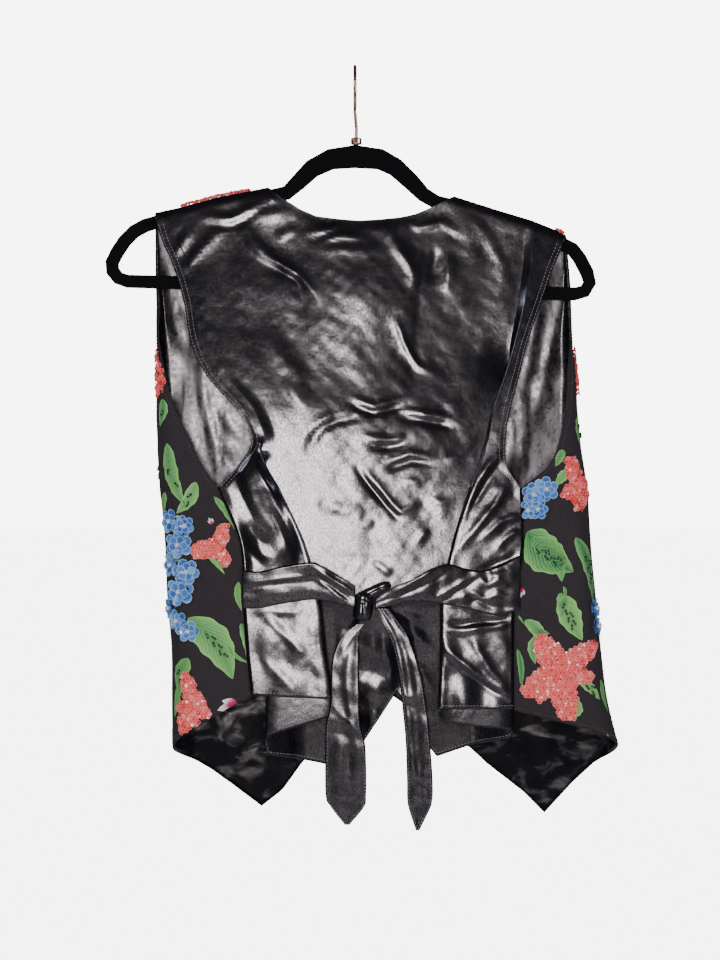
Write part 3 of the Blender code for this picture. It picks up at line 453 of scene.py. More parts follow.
# A coral flower is its place and its petals: (way, length, width) in degrees and millimetres.
CORAL_L = (
    (-175.5, -277, ((92, 24, 17), (268, 20, 17), (340, 12, 12), (200, 12, 12))),
    (-122, -434, ((72, 23, 13), (188, 26, 17), (290, 17, 12), (150, 12, 11))),
    (-146, -574, ((104, 29, 13), (200, 15, 14), (258, 32, 19), (330, 19, 15), (60, 12, 12))),
)
CORAL_R = (
    (201, -272, ((80, 22, 12), (265, 24, 13))),
    (200, -379, ((98, 28, 15), (205, 19, 13), (325, 15, 14), (262, 22, 15), (30, 12, 12))),
    (182, -543, ((115, 34, 25), (33, 45, 18), (347, 31, 16), (271, 45, 25), (211, 42, 19), (229, 36, 15),
                 (90, 16, 34), (270, 17, 36))),
)
FAR_CORAL_L = (
    (52, -141, ((48, 15, 17), (90, 13, 17), (132, 15, 17), (8, 24, 19), (172, 23, 19), (236, 21, 18),
                (300, 21, 18))),
    (70, -204, ((90, 30, 22), (18, 28, 20), (306, 30, 22), (234, 30, 22), (162, 28, 20))),
    (66, -366, ((70, 32, 22), (142, 28, 20), (214, 32, 24), (286, 36, 24), (358, 30, 20))),
    (130, -500, ((100, 28, 20), (30, 26, 18), (316, 30, 20), (240, 30, 22), (170, 24, 18))),
    (60, -606, ((80, 24, 18), (350, 20, 16), (262, 24, 18), (180, 22, 16))),
)
FAR_CORAL_R = (
    (76, -232, ((80, 30, 22), (8, 30, 20), (296, 32, 22), (224, 28, 20), (152, 30, 22))),
    (120, -386, ((96, 34, 24), (24, 30, 22), (312, 32, 24), (240, 34, 24), (168, 28, 20))),
    (40, -560, ((76, 28, 20), (4, 26, 18), (292, 30, 22), (220, 26, 18), (148, 26, 18))),
    (150, -600, ((90, 22, 16), (10, 20, 14), (270, 22, 16), (180, 20, 14))),
)
# Sequins along the top edge of a shoulder: the side, first x, last x, and how many. The steps
# lead over the edge: how far below it each is, its depth, and the way that it faces.
SHOULDER_ROWS = ((-1, -158, -96, 26), (1, 183, 190, 4))
SHOULDER_STEPS = (
    (-1.7, 0.7, -1.4), (-0.7, 2.0, -0.2), (0.6, 3.4, 0.8), (2.6, 5.4, 1.3), (5.2, 6.4, 4.0),
)

# A blue blossom is its place, its size and its turn.
BLUE_L = (
    (-164, -410, 9.5, 10), (-152, -414, 8.0, 40), (-158, -431, 10.5, 25), (-163, -449, 9.5, 5),
    (-151, -455, 10.0, 50), (-156, -473, 11.0, 20), (-158, -499, 8.5, 35), (-149, -508, 8.5, 0),
    (-164, -488, 8.0, 15),
)
BLUE_R = (
    (150, -389, 9.0, 10), (160, -386, 9.0, 35), (172, -381, 9.5, 20), (163, -399, 8.0, 0),
    (154, -400, 7.0, 60), (214, -488, 7.5, 10), (216, -504, 7.5, 40),
)
FAR_BLUE_L = (
    (28, -398, 10, 10), (46, -408, 10, 40), (34, -420, 9, 20), (118, -288, 10, 0), (132, -302, 9, 30),
    (120, -310, 9, 50), (20, -516, 9, 15), (34, -530, 10, 45), (96, -640, 8, 20), (100, -166, 8, 10),
)
FAR_BLUE_R = (
    (20, -486, 10, 10), (34, -500, 10, 40), (22, -512, 9, 20), (60, -318, 10, 0), (76, -330, 9, 30),
    (62, -340, 9, 50), (120, -520, 9, 15), (134, -534, 10, 45), (40, -170, 8, 10), (100, -648, 8, 30),
)
# Printed pink and white buds: place, the way they point, length, width
BUDS_L = ((-107, -573, 200, 17, 11), (-128, -412, 120, 6, 4))
BUDS_R = ((150, -440, 262, 22, 12), (148, -470, 268, 8, 6), (152, -386, 60, 8, 5))
FAR_BUDS = (
    (86, -300, 250, 18, 11), (50, -440, 200, 16, 10), (130, -430, 280, 16, 10), (90, -560, 240, 16, 10),
)

# The hidden side's leaves and coral flowers are this much larger than the tables say
FAR_GROWTH = 1.2

# How far the print lies above the crepe, how far it stays from the cloth's edges, and the grid
# of a large leaf and of a small one
PRINT_LIFT = 0.26
PRINT_INSET = 0.4
LARGE_LEAF = 15
WIDE_LEAF = 8
LARGE_GRID = (20, 12)
SMALL_GRID = (8, 5)
BUD_FAN = (-32, 0, 32)

# Sequins, blossoms, pearls and tube beads. A blossom's ring is its count of petals, its reach and
# its petals' radius as shares of the blossom's size, and its height.
SEQUIN_PITCH = 2.9
SEQUIN_RADIUS = 2.35
SEQUIN_CUP = 0.35
SEQUIN_LEAN = 0.42
SEQUIN_JITTER = 0.35
SHOULDER_SEQUIN_RADIUS = 2.1
BLOSSOM_RINGS = ((6, 0.72, 0.46, 0.7), (5, 0.40, 0.40, 1.7))
PETAL_CUP = 0.7
PETAL_LEAN = 0.34
PEARL_RADIUS = 2.3
PEARL_LIFT = 3.2
BEAD_LONG = 5.2
BEAD_RADIUS = 1.0
BEAD_SLANT = 0.35

# The threads of the topstitching, and how far in from an edge each row is sewn
STITCH_PITCH = 3.1
STITCH_LONG = 2.2
STITCH_WIDE = 0.55
STITCH_LIFT = 0.1
HEM_STITCH_IN = 3.2
BACK_STITCHES_IN = (1.6, 5.6)
FRONT_STITCH_IN = 4.0
STRIP_STITCH_IN = 1.7

# A button, with its holes and its thread
BUTTON_RADIUS = 7.5
BUTTON_THICK = 3.0
HOLE_OUT = 1.6
HOLE_RADIUS = 0.8
HOLE_MOUTH = 0.7
THREAD_BAR = (4.6, 0.8, 0.5)

# Where the camera stood
CAMERA_PLACE = (0.0045, -2.0, -0.373)
CAMERA_LENS = 82.8
SENSOR_HEIGHT = 36.0

# The lights: name, place, what it aims at, share of the power, width, height and colour
WARM = (1.0, 0.96, 0.97)
COOL = (0.72, 0.80, 1.0)
LIGHTS = (
    ("front soft light", (-0.07, -2.2, -0.36), (-0.03, 0.0, -0.37), 1.0, 0.34, 0.6, WARM),
    ("left soft light", (-1.5, -1.2, 0.7), (0.0, 0.0, -0.35), 0.28, 0.5, 0.5, COOL),
    ("right soft light", (1.6, -1.0, 0.3), (0.0, 0.0, -0.4), 0.25, 0.5, 0.5, COOL),
    ("back soft light", (0.5, 2.4, 0.2), (0.0, 0.0, -0.4), 1.0, 0.6, 0.6, WARM),
)


def blend(a, b, t):
    return a + (b - a) * t


def ease(t):
    """A soft step from 0 to 1, for a number or an array."""
    t = np.clip(t, 0.0, 1.0)
    return t * t * (3.0 - 2.0 * t)


def curve(t, a, slope_a, b, slope_b):
    """A smooth curve from a to b, with a slope at each end."""
    return (
        (2 * t**3 - 3 * t**2 + 1) * a + (t**3 - 2 * t**2 + t) * slope_a
        + (3 * t**2 - 2 * t**3) * b + (t**3 - t**2) * slope_b
    )


def between(rows, at):
    """The height at each place on a line of rows, each a place and a height."""
    rows = sorted(rows)
    return np.interp(at, [row[0] for row in rows], [row[1] for row in rows])


def section(z):
    """Every column of the section table at one height.

    The curve through the rows is smooth, but for a corner at the underarm.
    """
    rows = SECTIONS
    z = min(rows[0]["z"], max(rows[-1]["z"], z))
    i = next(k for k in range(len(rows) - 1) if z >= rows[k + 1]["z"])
    t = (rows[i]["z"] - z) / (rows[i]["z"] - rows[i + 1]["z"])
    before = rows[i if rows[i]["z"] == UNDERARM_Z else max(0, i - 1)]
    after = rows[i + 1 if rows[i + 1]["z"] == UNDERARM_Z else min(len(rows) - 1, i + 2)]
    found = {}
    for name in rows[0]:
        p0, p1, p2, p3 = before[name], rows[i][name], rows[i + 1][name], after[name]
        span = rows[i]["z"] - rows[i + 1]["z"]
        slope1 = (p2 - p0) / (before["z"] - rows[i + 1]["z"]) * span
        slope2 = (p3 - p1) / (rows[i]["z"] - after["z"]) * span
        found[name] = min(max(p1, p2), max(min(p1, p2), curve(t, p1, slope1, p2, slope2)))
    return found


LEVELS = np.arange(LOWEST_LEVEL, HIGHEST_LEVEL + LEVEL_STEP / 2, LEVEL_STEP)
LEVEL_SECTIONS = [section(z) for z in LEVELS]


def level_values(name, z):
    """One column of the section table at an array of heights."""
    return np.interp(z, LEVELS, [each[name] for each in LEVEL_SECTIONS])


def centre_front(z):
    return blend(CENTRE_TOP_X, CENTRE_HEM_X, (z - V_END_Z) / (CENTRE_HEM_Z - V_END_Z))


def inner_edge(side, z):
    """The x of a front's inner edge: its V neck, then its edge in the lap."""
    neck_x, neck_z = NECK_POINT_L if side < 0 else NECK_POINT_R
    t = (z - neck_z) / (V_END_Z - neck_z)
    if t >= 1.0:
        return centre_front(z) - side * LAP_HALF
    t = max(0.0, t)
    end_x = centre_front(V_END_Z) - side * LAP_HALF
    return blend(neck_x, end_x, t) + side * V_SAG * 4.0 * t * (1.0 - t)


def over_arm(drop):
    """How far out the cloth stands, from 0 to 1, this far below the seam on the arm's top."""
    t = np.clip(drop / SHOULDER_ROUND, 0.0, 1.0)
    return np.sqrt(1.0 - (1.0 - t) ** 2)


def front_line(side, at, z, columns):
    """A front's cross section at one height: where its crepe and its lining meet."""
    outline, edge = (at["side_l"], at["front_l"]) if side < 0 else (at["side_r"], at["front_r"])
    middle = (at["near"] + at["far"]) / 2
    half = (at["far"] - at["near"]) / 2
    reach = half * SIDE_ROUNDNESS
    inner = inner_edge(side, z)
    inward = max(0.0, side * (outline - edge))
    last = math.pi - math.asin(1.0 - min(1.0, inward / reach))
    free_y = BEHIND_BAR_Y - max(0.0, BEHIND_BAR_Z - z) / TURNS_OVER * 2 * half
    last = min(last, math.acos(max(-1.0, min(1.0, (free_y - middle) / half))))
    widest = math.sin(min(last, math.pi / 2))
    turn = outline - side * reach * widest
    line = []
    for part, share in columns:
        if part == "far":
            x = blend(inner, turn, share)
            lap = ease(1.0 - (side * (x - inner) - LAP_FLAT) / LAP_FADE) if side > 0 else 0.0
            line.append((x, at["far"] + LAP_STEP * lap * ease((LAP_FROM_Z - z) / LAP_OVER_Z)))
        else:
            arc = last * (half + reach) / 2
            flat = max(0.0, inward - reach) if last > FULL_TURN else 0.0
            gone = share * (arc + flat)
            angle = min(last, gone / arc * last)
            x = outline - side * reach * (widest - math.sin(angle))
            x -= side * max(0.0, gone - arc)
            if z <= UNDERARM_Z:
                x += side * SEAM_GAP / 2 * share
            line.append((x, middle + half * math.cos(angle)))
    return line


def fold_radius(key, z):
    """How widely a fold turns. The left one starts sharp, where it leaves the flat cloth."""
    if key == "r":
        return FOLD_RADIUS
    opened = float(ease((FOLD_OPENS_Z - z) / FOLD_OPENS_OVER))
    return blend(SHARPEST_RADIUS, FOLD_RADIUS, opened)


def fold_line(tuck, radius, lying):
    """A pulled-in fold from its start at (0, 0): on, back under and on again, in even steps."""
    turned = math.pi * float(ease((tuck + FOLD_REACH) / (2 * FOLD_REACH)))
    flat = max(FOLD_REACH, tuck) * (1.0 - lying * math.sin(turned))
    around = np.linspace(0.0, 1.0, 13)
    first = np.stack([
        radius * np.sin(turned * around),
        radius * (1.0 - np.cos(turned * around)),
    ], axis=1)
    corner = first[-1] + flat * np.array([math.cos(turned), math.sin(turned)])
    left = turned * (1.0 - around)
    second = corner + np.stack([
        radius * (math.sin(turned) - np.sin(left)),
        radius * (np.cos(left) - math.cos(turned)),
    ], axis=1)
    points = np.concatenate([first, second])
    steps = np.hypot(*(points[1:] - points[:-1]).T)
    gone = np.concatenate([[0.0], np.cumsum(steps)])
    turn = max(radius * turned, 2.0)
    marks = np.concatenate([
        np.linspace(0.0, turn, FOLD_TURN_STEPS + 1)[:-1],
        np.linspace(turn, gone[-1] - turn, FOLD_STEPS - 2 * FOLD_TURN_STEPS + 1)[:-1],
        np.linspace(gone[-1] - turn, gone[-1], FOLD_TURN_STEPS + 1),
    ])
    if gone[-1] <= 2 * turn + 1.0:
        marks = np.linspace(0.0, gone[-1], len(marks))
    return np.stack([np.interp(marks, gone, points[:, axis]) for axis in (0, 1)], axis=1)


def fold_at(key, at, z):
    """The fold of one side at one height, and how widely it turns there."""
    radius = fold_radius(key, z)
    return fold_line(at["tuck_" + key], radius, LYING[key]), radius


def soften_depths():
    """Adds to each level how deep the back's middle lies away from its folds, evened out."""
    for key in ("l", "r"):
        depths = np.array([fold_at(key, at, z)[0][-1][1] for at, z in zip(LEVEL_SECTIONS, LEVELS)])
        reach = round(DEPTH_EVENED_OVER / LEVEL_STEP)
        weights = 1.0 + np.cos(np.linspace(-math.pi, math.pi, 2 * reach + 1))
        wide = np.concatenate([np.full(reach, depths[0]), depths, np.full(reach, depths[-1])])
        even = np.convolve(wide, weights / weights.sum(), mode="valid")
        for at, depth in zip(LEVEL_SECTIONS, even):
            at["soft_" + key] = depth


def back_columns():
    """Each column of the back: its stretch, and how far along that stretch it lies."""
    z = NECK_POINT_L[1]
    at = section(z)
    fold_l, radius_l = fold_at("l", at, z)
    fold_r, radius_r = fold_at("r", at, z)
    start = at["fold_l"] - radius_l + fold_l[-1][0]
    end = at["fold_r"] + radius_r - fold_r[-1][0]
    neck_l = (NECK_POINT_L[0] - start) / (end - start)
    neck_r = (NECK_POINT_R[0] - start) / (end - start)
    middle = [neck_l * k / SHOULDER_COLUMNS for k in range(SHOULDER_COLUMNS)]
    middle += [blend(neck_l, neck_r, k / SCOOP_COLUMNS) for k in range(SCOOP_COLUMNS)]
    middle += [blend(neck_r, 1.0, k / SHOULDER_COLUMNS) for k in range(SHOULDER_COLUMNS + 1)]
    columns = [("side_l", k / BACK_SIDE_COLUMNS) for k in range(BACK_SIDE_COLUMNS + 1)]
    columns += [("fold_l", k / FOLD_STEPS) for k in range(1, FOLD_STEPS)]
    columns += [("middle", share) for share in middle]
    columns += [("fold_r", k / FOLD_STEPS) for k in range(1, FOLD_STEPS)]
    columns += [("side_r", k / BACK_SIDE_COLUMNS) for k in range(BACK_SIDE_COLUMNS + 1)]
    return columns


def back_line(at, z, columns):
    """The back's cross section at one height, down the middle of its wall."""
    base = at["near"] - BACK_WALL / 2
    seam = SEAM_GAP / 2 if z <= UNDERARM_Z else 0.0
    fold_l, radius_l = fold_at("l", at, z)
    fold_r, radius_r = fold_at("r", at, z)
    start_l = at["fold_l"] - radius_l
    start_r = at["fold_r"] + radius_r
    below = max(0.0, SKIRT_FROM_Z - z)
    fall = SKIRT_FALL * (1.0 - math.exp(-below / SKIRT_FALL_OVER))
    fall *= float(ease(below / SKIRT_START_OVER))
    line = []
    for part, share in columns:
        if part == "side_l":
            line.append((blend(at["back_l"] + seam, start_l, share), base))
        elif part == "side_r":
            line.append((blend(start_r, at["back_r"] - seam, share), base))
        elif part == "middle":
            x = blend(start_l + fold_l[-1][0], start_r - fold_r[-1][0], share)
            deep = blend(fold_l[-1][1], fold_r[-1][1], share)
            deep += (at["soft_l"] - fold_l[-1][1]) * ease(share / EVEN_FROM_L) * (1.0 - share)
            deep += (at["soft_r"] - fold_r[-1][1]) * ease((1.0 - share) / EVEN_FROM_R) * share
            deep += fall * float(ease(min(share, 1.0 - share) / SKIRT_FALLS_FROM))
            line.append((x, base + deep))
        elif part == "fold_l":
            dx, dy = fold_l[round(share * FOLD_STEPS)]
            line.append((start_l + dx, base + dy))
        else:
            dx, dy = fold_r[round((1.0 - share) * FOLD_STEPS)]
            line.append((start_r - dx, base + dy))
    return line


def meet_edge(edge, xs):
    """Where a column whose x is known at every level meets the top edge: x and height."""
    z = NECK_POINT_L[1]
    for _ in range(6):
        x = np.interp(z, LEVELS, xs)
        z = float(between(edge, x))
    return float(x), z


def column_heights(top, hem, above, below):
    """A column's heights, from its top edge to its hem."""
    drops = top - np.array(TOP_DROPS)
    return np.concatenate([
        drops,
        np.linspace(drops[-1], UNDERARM_Z, above + 1)[1:],
        np.linspace(UNDERARM_Z, hem, below + 1)[1:],
    ])


def creases(x, z, table):
    """The height of all creases of a table at each place. A crease is a soft ridge or trough."""
    total = np.zeros_like(x)
    for high, wide, *places in table:
        points = np.array(places).reshape(-1, 2)
        steps = np.hypot(*(points[1:] - points[:-1]).T)
        whole = steps.sum()
        nearest = np.full(x.shape, 1e9)
        place = np.zeros_like(x)
        gone = 0.0
        for (ax, az), (bx, bz), step in zip(points[:-1], points[1:], steps):
            t = np.clip(((x - ax) * (bx - ax) + (z - az) * (bz - az)) / step**2, 0.0, 1.0)
            far = np.hypot(x - ax - t * (bx - ax), z - az - t * (bz - az))
            closer = far < nearest
            nearest = np.where(closer, far, nearest)
            place = np.where(closer, (gone + t * step) / whole, place)
            gone += step
        taper = np.clip(np.sin(math.pi * np.clip(place, 0.02, 0.98)), 0.0, 1.0) ** CREASE_TAPER
        total += high * taper / (1.0 + (nearest / (wide * CREASE_SPREAD)) ** 2) ** 2
    return total


def rumple(x, z, size, seed):
    """Slow uneven swells of the cloth, between about -1 and 1."""
    source = random.Random(seed)
    total = np.zeros_like(x)
    for _ in range(7):
        way = source.uniform(0.0, math.tau)
        long = size * source.uniform(0.6, 1.5)
        bend = source.uniform(0.0, math.tau)
        total += np.sin((x * math.cos(way) + z * math.sin(way)) / long * math.tau + bend
                        + 1.4 * np.sin(z / (size * 1.7) + bend))
    return total / 4.0


# The back's surface


def back_surface(crease_scale):
    """The points of the back, down the middle of its wall, rows by columns."""
    tables = dict(side_l=SIDE_L_CREASES, side_r=SIDE_R_CREASES)
    columns = back_columns()
    lines = np.array([back_line(at, z, columns) for at, z in zip(LEVEL_SECTIONS, LEVELS)])
    top_edge = SHOULDER_L + SCOOP[1:-1] + SHOULDER_R
    neck_l, neck_r = NECK_POINT_L[0], NECK_POINT_R[0]
    grid = []
    for number, (part, share) in enumerate(columns):
        first, top = meet_edge(top_edge, lines[:, number, 0])
        top -= BACK_WALL / 2
        inside = min(max(0.0, first - neck_l), max(0.0, neck_r - first))
        nearest = NECK_POINT_L if abs(first - neck_l) < abs(first - neck_r) else NECK_POINT_R
        arm = nearest[1] + ARM_RISE_AT_NECK * inside - BACK_WALL / 2 if inside else top
        hem = float(between(BACK_HEM[part], share))
        z = column_heights(top, hem, BACK_ROWS_ABOVE, BACK_ROWS_BELOW)
        x = np.interp(z, LEVELS, lines[:, number, 0])
        y = np.interp(z, LEVELS, lines[:, number, 1])
        if inside:
            below_edge = (top - z) / FREE_UNDER_NECK
        else:
            below_edge = (top - z - FLAT_UNDER_ARM) / FREE_UNDER_ARM
        free = back_freedom(part, x, z) * ease(below_edge)
        rise = creases(x, z, tables.get(part, BACK_CREASES))
        if part in tables and share < 1.0:
            fade = ease((z - BACK_CREASES_END_Z) / BACK_CREASES_END_OVER)
            rise = rise + creases(x, z, BACK_CREASES) * fade
        for high, size, seed in BACK_RUMPLES:
            rise = rise + high * rumple(x, z, size, seed)
        high, size, seed = SKIRT_RUMPLE
        loose = high * SKIRT_SHARE.get(part, 1.0)
        rise = rise + loose * rumple(x, z, size, seed) * ease((SKIRT_FROM_Z - z) / SKIRT_RUMPLE_OVER)
        rise = np.clip(rise * crease_scale, DEEPEST_TROUGH, HIGHEST_RIDGE) * free
        y = blend(-SEAM_GAP / 2, y, over_arm(arm - z)) - rise
        grid.append(np.stack([x, y, z], axis=1))
    return np.array(grid).transpose(1, 0, 2)


def back_freedom(part, x, z):
    """How freely the back's cloth may rise at each place, from 0 to 1."""
    free = np.ones_like(x)
    for key, way in (("l", 1.0), ("r", -1.0)):
        folded = ease((level_values("tuck_" + key, z) + FOLD_REACH) / (2 * FOLD_REACH))
        inside = way * (x - level_values("fold_" + key, z))
        if part == "fold_" + key:
            free = 1.0 - folded
        elif part == "middle":
            free = free * (1.0 - folded * (1.0 - ease(inside / FREE_BESIDE_FOLD)))
        elif part == "side_" + key:
            seam = ease(way * (x - level_values("back_" + key, z)) / FREE_BESIDE_SEAM)
            free = seam * (1.0 - folded * (1.0 - ease(-inside / FREE_BESIDE_SEAM)))
    return free


# The fronts' surface


def front_surface(side):
    """The points where a front's crepe and its lining meet, rows by columns."""
    point = HEM_POINT_L if side < 0 else HEM_POINT_R
    inner = round(FRONT_FAR_COLUMNS * point)
    outer = FRONT_FAR_COLUMNS - inner
    columns = [("far", point * k / inner) for k in range(inner)]
    columns += [("far", blend(point, 1.0, k / outer)) for k in range(outer)]
    columns += [("wrap", k / FRONT_WRAP_COLUMNS) for k in range(FRONT_WRAP_COLUMNS + 1)]
    hem = FRONT_HEM_L if side < 0 else FRONT_HEM_R
    shoulder = SHOULDER_L if side < 0 else SHOULDER_R
    lines = np.array([front_line(side, at, z, columns) for at, z in zip(LEVEL_SECTIONS, LEVELS)])
    flat = np.array([flat_line(side, at, z, columns) for at, z in zip(LEVEL_SECTIONS, LEVELS)])
    grid = []
    for number, (part, share) in enumerate(columns):
        top = meet_edge(shoulder, flat[:, number])[1] - CREPE_WALL
        low = float(between(hem[part], share))
        z = column_heights(top, low, FRONT_ROWS_ABOVE, FRONT_ROWS_BELOW)
        rise = over_arm(top - z)
        x = np.interp(z, LEVELS, lines[:, number, 0])
        x = blend(np.interp(z, LEVELS, flat[:, number]), x, rise)
        y = blend(SEAM_GAP / 2, np.interp(z, LEVELS, lines[:, number, 1]), rise)
        grid.append(np.stack([x, y, z], axis=1))
    return np.array(grid).transpose(1, 0, 2), columns


def flat_line(side, at, z, columns):
    """The x of each column where the front lies flat over the arm."""
    outline = at["side_l" if side < 0 else "side_r"]
    inner = inner_edge(side, z)
    turn = front_line(side, at, z, [("far", 1.0)])[0][0]
    return [blend(inner, turn, share) if part == "far" else blend(turn, outline, share)
            for part, share in columns]


def front_swell(side, x, y, z):
    """How far the crepe swells out. It stays flat at its top edge."""
    calm = ease((SWELL_FROM_Z - z) / SWELL_OVER)
    return (SWELL_HIGH + SWELL_HIGH * rumple(x + 2.0 * y, z, SWELL_SIZE, 21 + side)) * calm


def crepe_surface(side):
    """A front's swollen crepe, the ways out of it, and what each column is."""
    grid, columns = front_surface(side)
    out = grid_normals(grid, side)
    swell = front_swell(side, grid[..., 0], grid[..., 1], grid[..., 2])
    return grid + out * swell[..., None], out, columns


class FrontCloth:
    """Finds places on the outer face of one front, by distance round it and by height."""

    def __init__(self, side):
        self.side = side
        columns = [("wrap", 1.0 - k / MARK_WRAP_COLUMNS) for k in range(MARK_WRAP_COLUMNS)]
        columns += [("far", 1.0 - k / MARK_FAR_COLUMNS) for k in range(MARK_FAR_COLUMNS + 1)]
        self.marks = np.arange(MARKS_FROM, MARKS_TO, MARK_STEP)
        self.x = []
        self.y = []
        self.near_end = []
        self.far_end = []
        for at, z in zip(LEVEL_SECTIONS, LEVELS):
            line = np.array(front_line(side, at, z, columns))
            gone = np.concatenate([[0.0], np.cumsum(np.hypot(*(line[1:] - line[:-1]).T))])
            outermost = np.argmax(side * line[:, 0] - 0.001 * np.arange(len(line)))
            gone -= gone[outermost]
            self.near_end.append(gone[0])
            self.far_end.append(gone[-1])
            self.x.append(np.interp(self.marks, gone, line[:, 0]))
            self.y.append(np.interp(self.marks, gone, line[:, 1]))
        self.x = np.array(self.x)
        self.y = np.array(self.y)
        self.hem = []
        for x, y, z in front_surface(side)[0][-1]:
            row = round((z - LOWEST_LEVEL) / LEVEL_STEP)
            far = np.hypot(self.x[row] - x, self.y[row] - y)
            self.hem.append((self.marks[np.argmin(far)], z))
        self.hem.sort()

    def read(self, table, u, z):
        """A value of one of the tables between its rows and its marks."""
        row = min(max((z - LOWEST_LEVEL) / LEVEL_STEP, 0.0), len(LEVELS) - 1.001)
        column = min(max((u - MARKS_FROM) / MARK_STEP, 0.0), len(self.marks) - 1.001)
        i, j = int(row), int(column)
        a, b = row - i, column - j
        upper = blend(table[i + 1, j], table[i + 1, j + 1], b)
        return blend(blend(table[i, j], table[i, j + 1], b), upper, a)

    def point(self, u, z):
        """Where the crepe meets its lining at one place."""
        return Vector((self.read(self.x, u, z), self.read(self.y, u, z), z))

    def frame_at(self, u, z, lift=0.0):
        """A place, and the ways along the cloth, up and out of it. u grows to the hidden side."""
        place = self.point(u, z)
        along = self.point(u + 2.0, z) - self.point(u - 2.0, z)
        along = along.normalized() if along.length > 0.1 else Vector((-self.side, 0.0, 0.0))
        out = Vector((along.y, -along.x, 0.0)) * self.side
        up = (self.point(u, z + 4.0) - place).normalized()
        swell = float(front_swell(self.side, *(np.array([each]) for each in place))[0])
        return place + out * (CREPE_WALL + lift + swell), along, up, out

    def held(self, u, z, inset):
        """The nearest place on the cloth that is at least this far from its edges."""
        z = max(z, float(between(self.hem, u)) + inset)
        near_end = float(np.interp(z, LEVELS, self.near_end))
        far_end = float(np.interp(z, LEVELS, self.far_end))
        return min(max(u, near_end + inset), far_end - inset), z

    def holds(self, u, z, inset):
        """Whether a place is on the cloth and at least this far from its edges."""
        return self.held(u, z, inset) == (u, z)

    def near(self, x, z):
        """The distance round the cloth of a place that is seen from the near side."""
        row = int(min(max((z - LOWEST_LEVEL) / LEVEL_STEP, 0), len(LEVELS) - 1))
        seen = self.marks <= 0.0
        return float(self.marks[seen][np.argmin(np.abs(self.x[row][seen] - x))])


# Mesh and piece helpers


def new_object(name, shape, material):
    """Makes the object of a finished bmesh, with its material."""
    mesh = bpy.data.meshes.new(name)
    shape.to_mesh(mesh)
    shape.free()
    mesh.materials.append(material)
    made = bpy.data.objects.new(name, mesh)
    bpy.context.scene.collection.objects.link(made)
    return made


def new_piece(name, shape, material):
    """A smoothly shaded piece that rides on the body."""
    piece = new_object(name, shape, material)
    piece.data.shade_smooth()
    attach(piece, BODY)
    return piece


def gone_along(points):
    """How far along a line each of its points is."""
    steps = np.linalg.norm(points[1:] - points[:-1], axis=1)
    return np.concatenate([[0.0], np.cumsum(steps)])


def cloth_sheet(name, grid, material, flip):
    """A sheet of cloth through rows of points, with its UV map in metres along the cloth."""
    rows, columns = grid.shape[:2]
    shape = bmesh.new()
    bmesh.ops.create_grid(shape, x_segments=columns - 1, y_segments=rows - 1, size=1.0)
    if flip:
        bmesh.ops.reverse_faces(shape, faces=shape.faces)
    piece = new_piece(name, shape, material)
    mesh = piece.data
    flat = np.empty(len(mesh.vertices) * 3)
    mesh.vertices.foreach_get("co", flat)
    flat = flat.reshape(-1, 3)
    column = np.rint((flat[:, 0] + 1.0) / 2.0 * (columns - 1)).astype(int)
    row = np.rint((flat[:, 1] + 1.0) / 2.0 * (rows - 1)).astype(int)
    mesh.vertices.foreach_set("co", (grid[row, column] * MM).ravel())
    across = gone_along(grid[rows // 2])
    uv = np.stack([across[column] * MM, grid[row, column, 2] * MM], axis=1)
    corners = np.empty(len(mesh.loops), dtype=int)
    mesh.loops.foreach_get("vertex_index", corners)
    mesh.uv_layers.new(name="cloth").data.foreach_set("uv", uv[corners].ravel())
    mesh.update()
    return piece


def add_wall(piece, thickness, offset):
    """Thickens a sheet: offset 0 to both sides, 1 outward and -1 inward."""
    wall = piece.modifiers.new("wall", "SOLIDIFY")
    wall.thickness = thickness * MM
    wall.offset = offset
    wall.use_even_offset = True


def grid_normals(grid, sign):
    """The way out of a grid of points at each of them."""
    down = np.gradient(grid, axis=0)
    across = np.gradient(grid, axis=1)
    out = np.cross(across, down) * sign
    return out / np.maximum(np.linalg.norm(out, axis=2, keepdims=True), 1e-9)


def inset_path(grid, normals, edge, inset, first=0, last=None):
    """A path on the cloth that runs beside one edge: its points and the ways out there."""
    if edge == "hem":
        lines, ways = grid[::-1].transpose(1, 0, 2), normals[::-1].transpose(1, 0, 2)
    else:
        order = -1 if edge == "end" else 1
        lines, ways = grid[:, ::order], normals[:, ::order]
    points, outs = [], []
    for line, way in zip(lines[first:last], ways[first:last]):
        gone = gone_along(line)
        points.append([np.interp(inset, gone, line[:, axis]) for axis in range(3)])
        outs.append([np.interp(inset, gone, way[:, axis]) for axis in range(3)])
    return np.array(points), np.array(outs)


def sew(shape, points, outs, lift):
    """Adds a row of stitches along a path, each a short low bar of thread."""
    gone = gone_along(points)
    start = STITCH_PITCH / 2
    while start + STITCH_LONG < gone[-1]:
        a = Vector([np.interp(start, gone, points[:, axis]) for axis in range(3)])
        b = Vector([np.interp(start + STITCH_LONG, gone, points[:, axis]) for axis in range(3)])
        out = Vector([np.interp(start, gone, outs[:, axis]) for axis in range(3)]).normalized()
        along = (b - a).normalized()
        side = out.cross(along).normalized()
        place = ((a + b) / 2 + out * lift) * MM
        turn = Matrix((along, side, out)).transposed().to_4x4()
        size = Matrix.Diagonal(((b - a).length * MM, STITCH_WIDE * MM, STITCH_WIDE * MM, 1.0))
        made = bmesh.ops.create_cube(shape, size=1.0, matrix=Matrix.Translation(place) @ turn @ size)
        for vert in made["verts"]:
            if (vert.co - place).dot(out) > 0.0:
                vert.co += (place - vert.co).project(along) * 0.35
        start += STITCH_PITCH


def shade_layer(shape):
    """A colour for each point: its own chance shade, how near its rim it is, and another chance."""
    return shape.verts.layers.float_color.new("shade")


# Materials


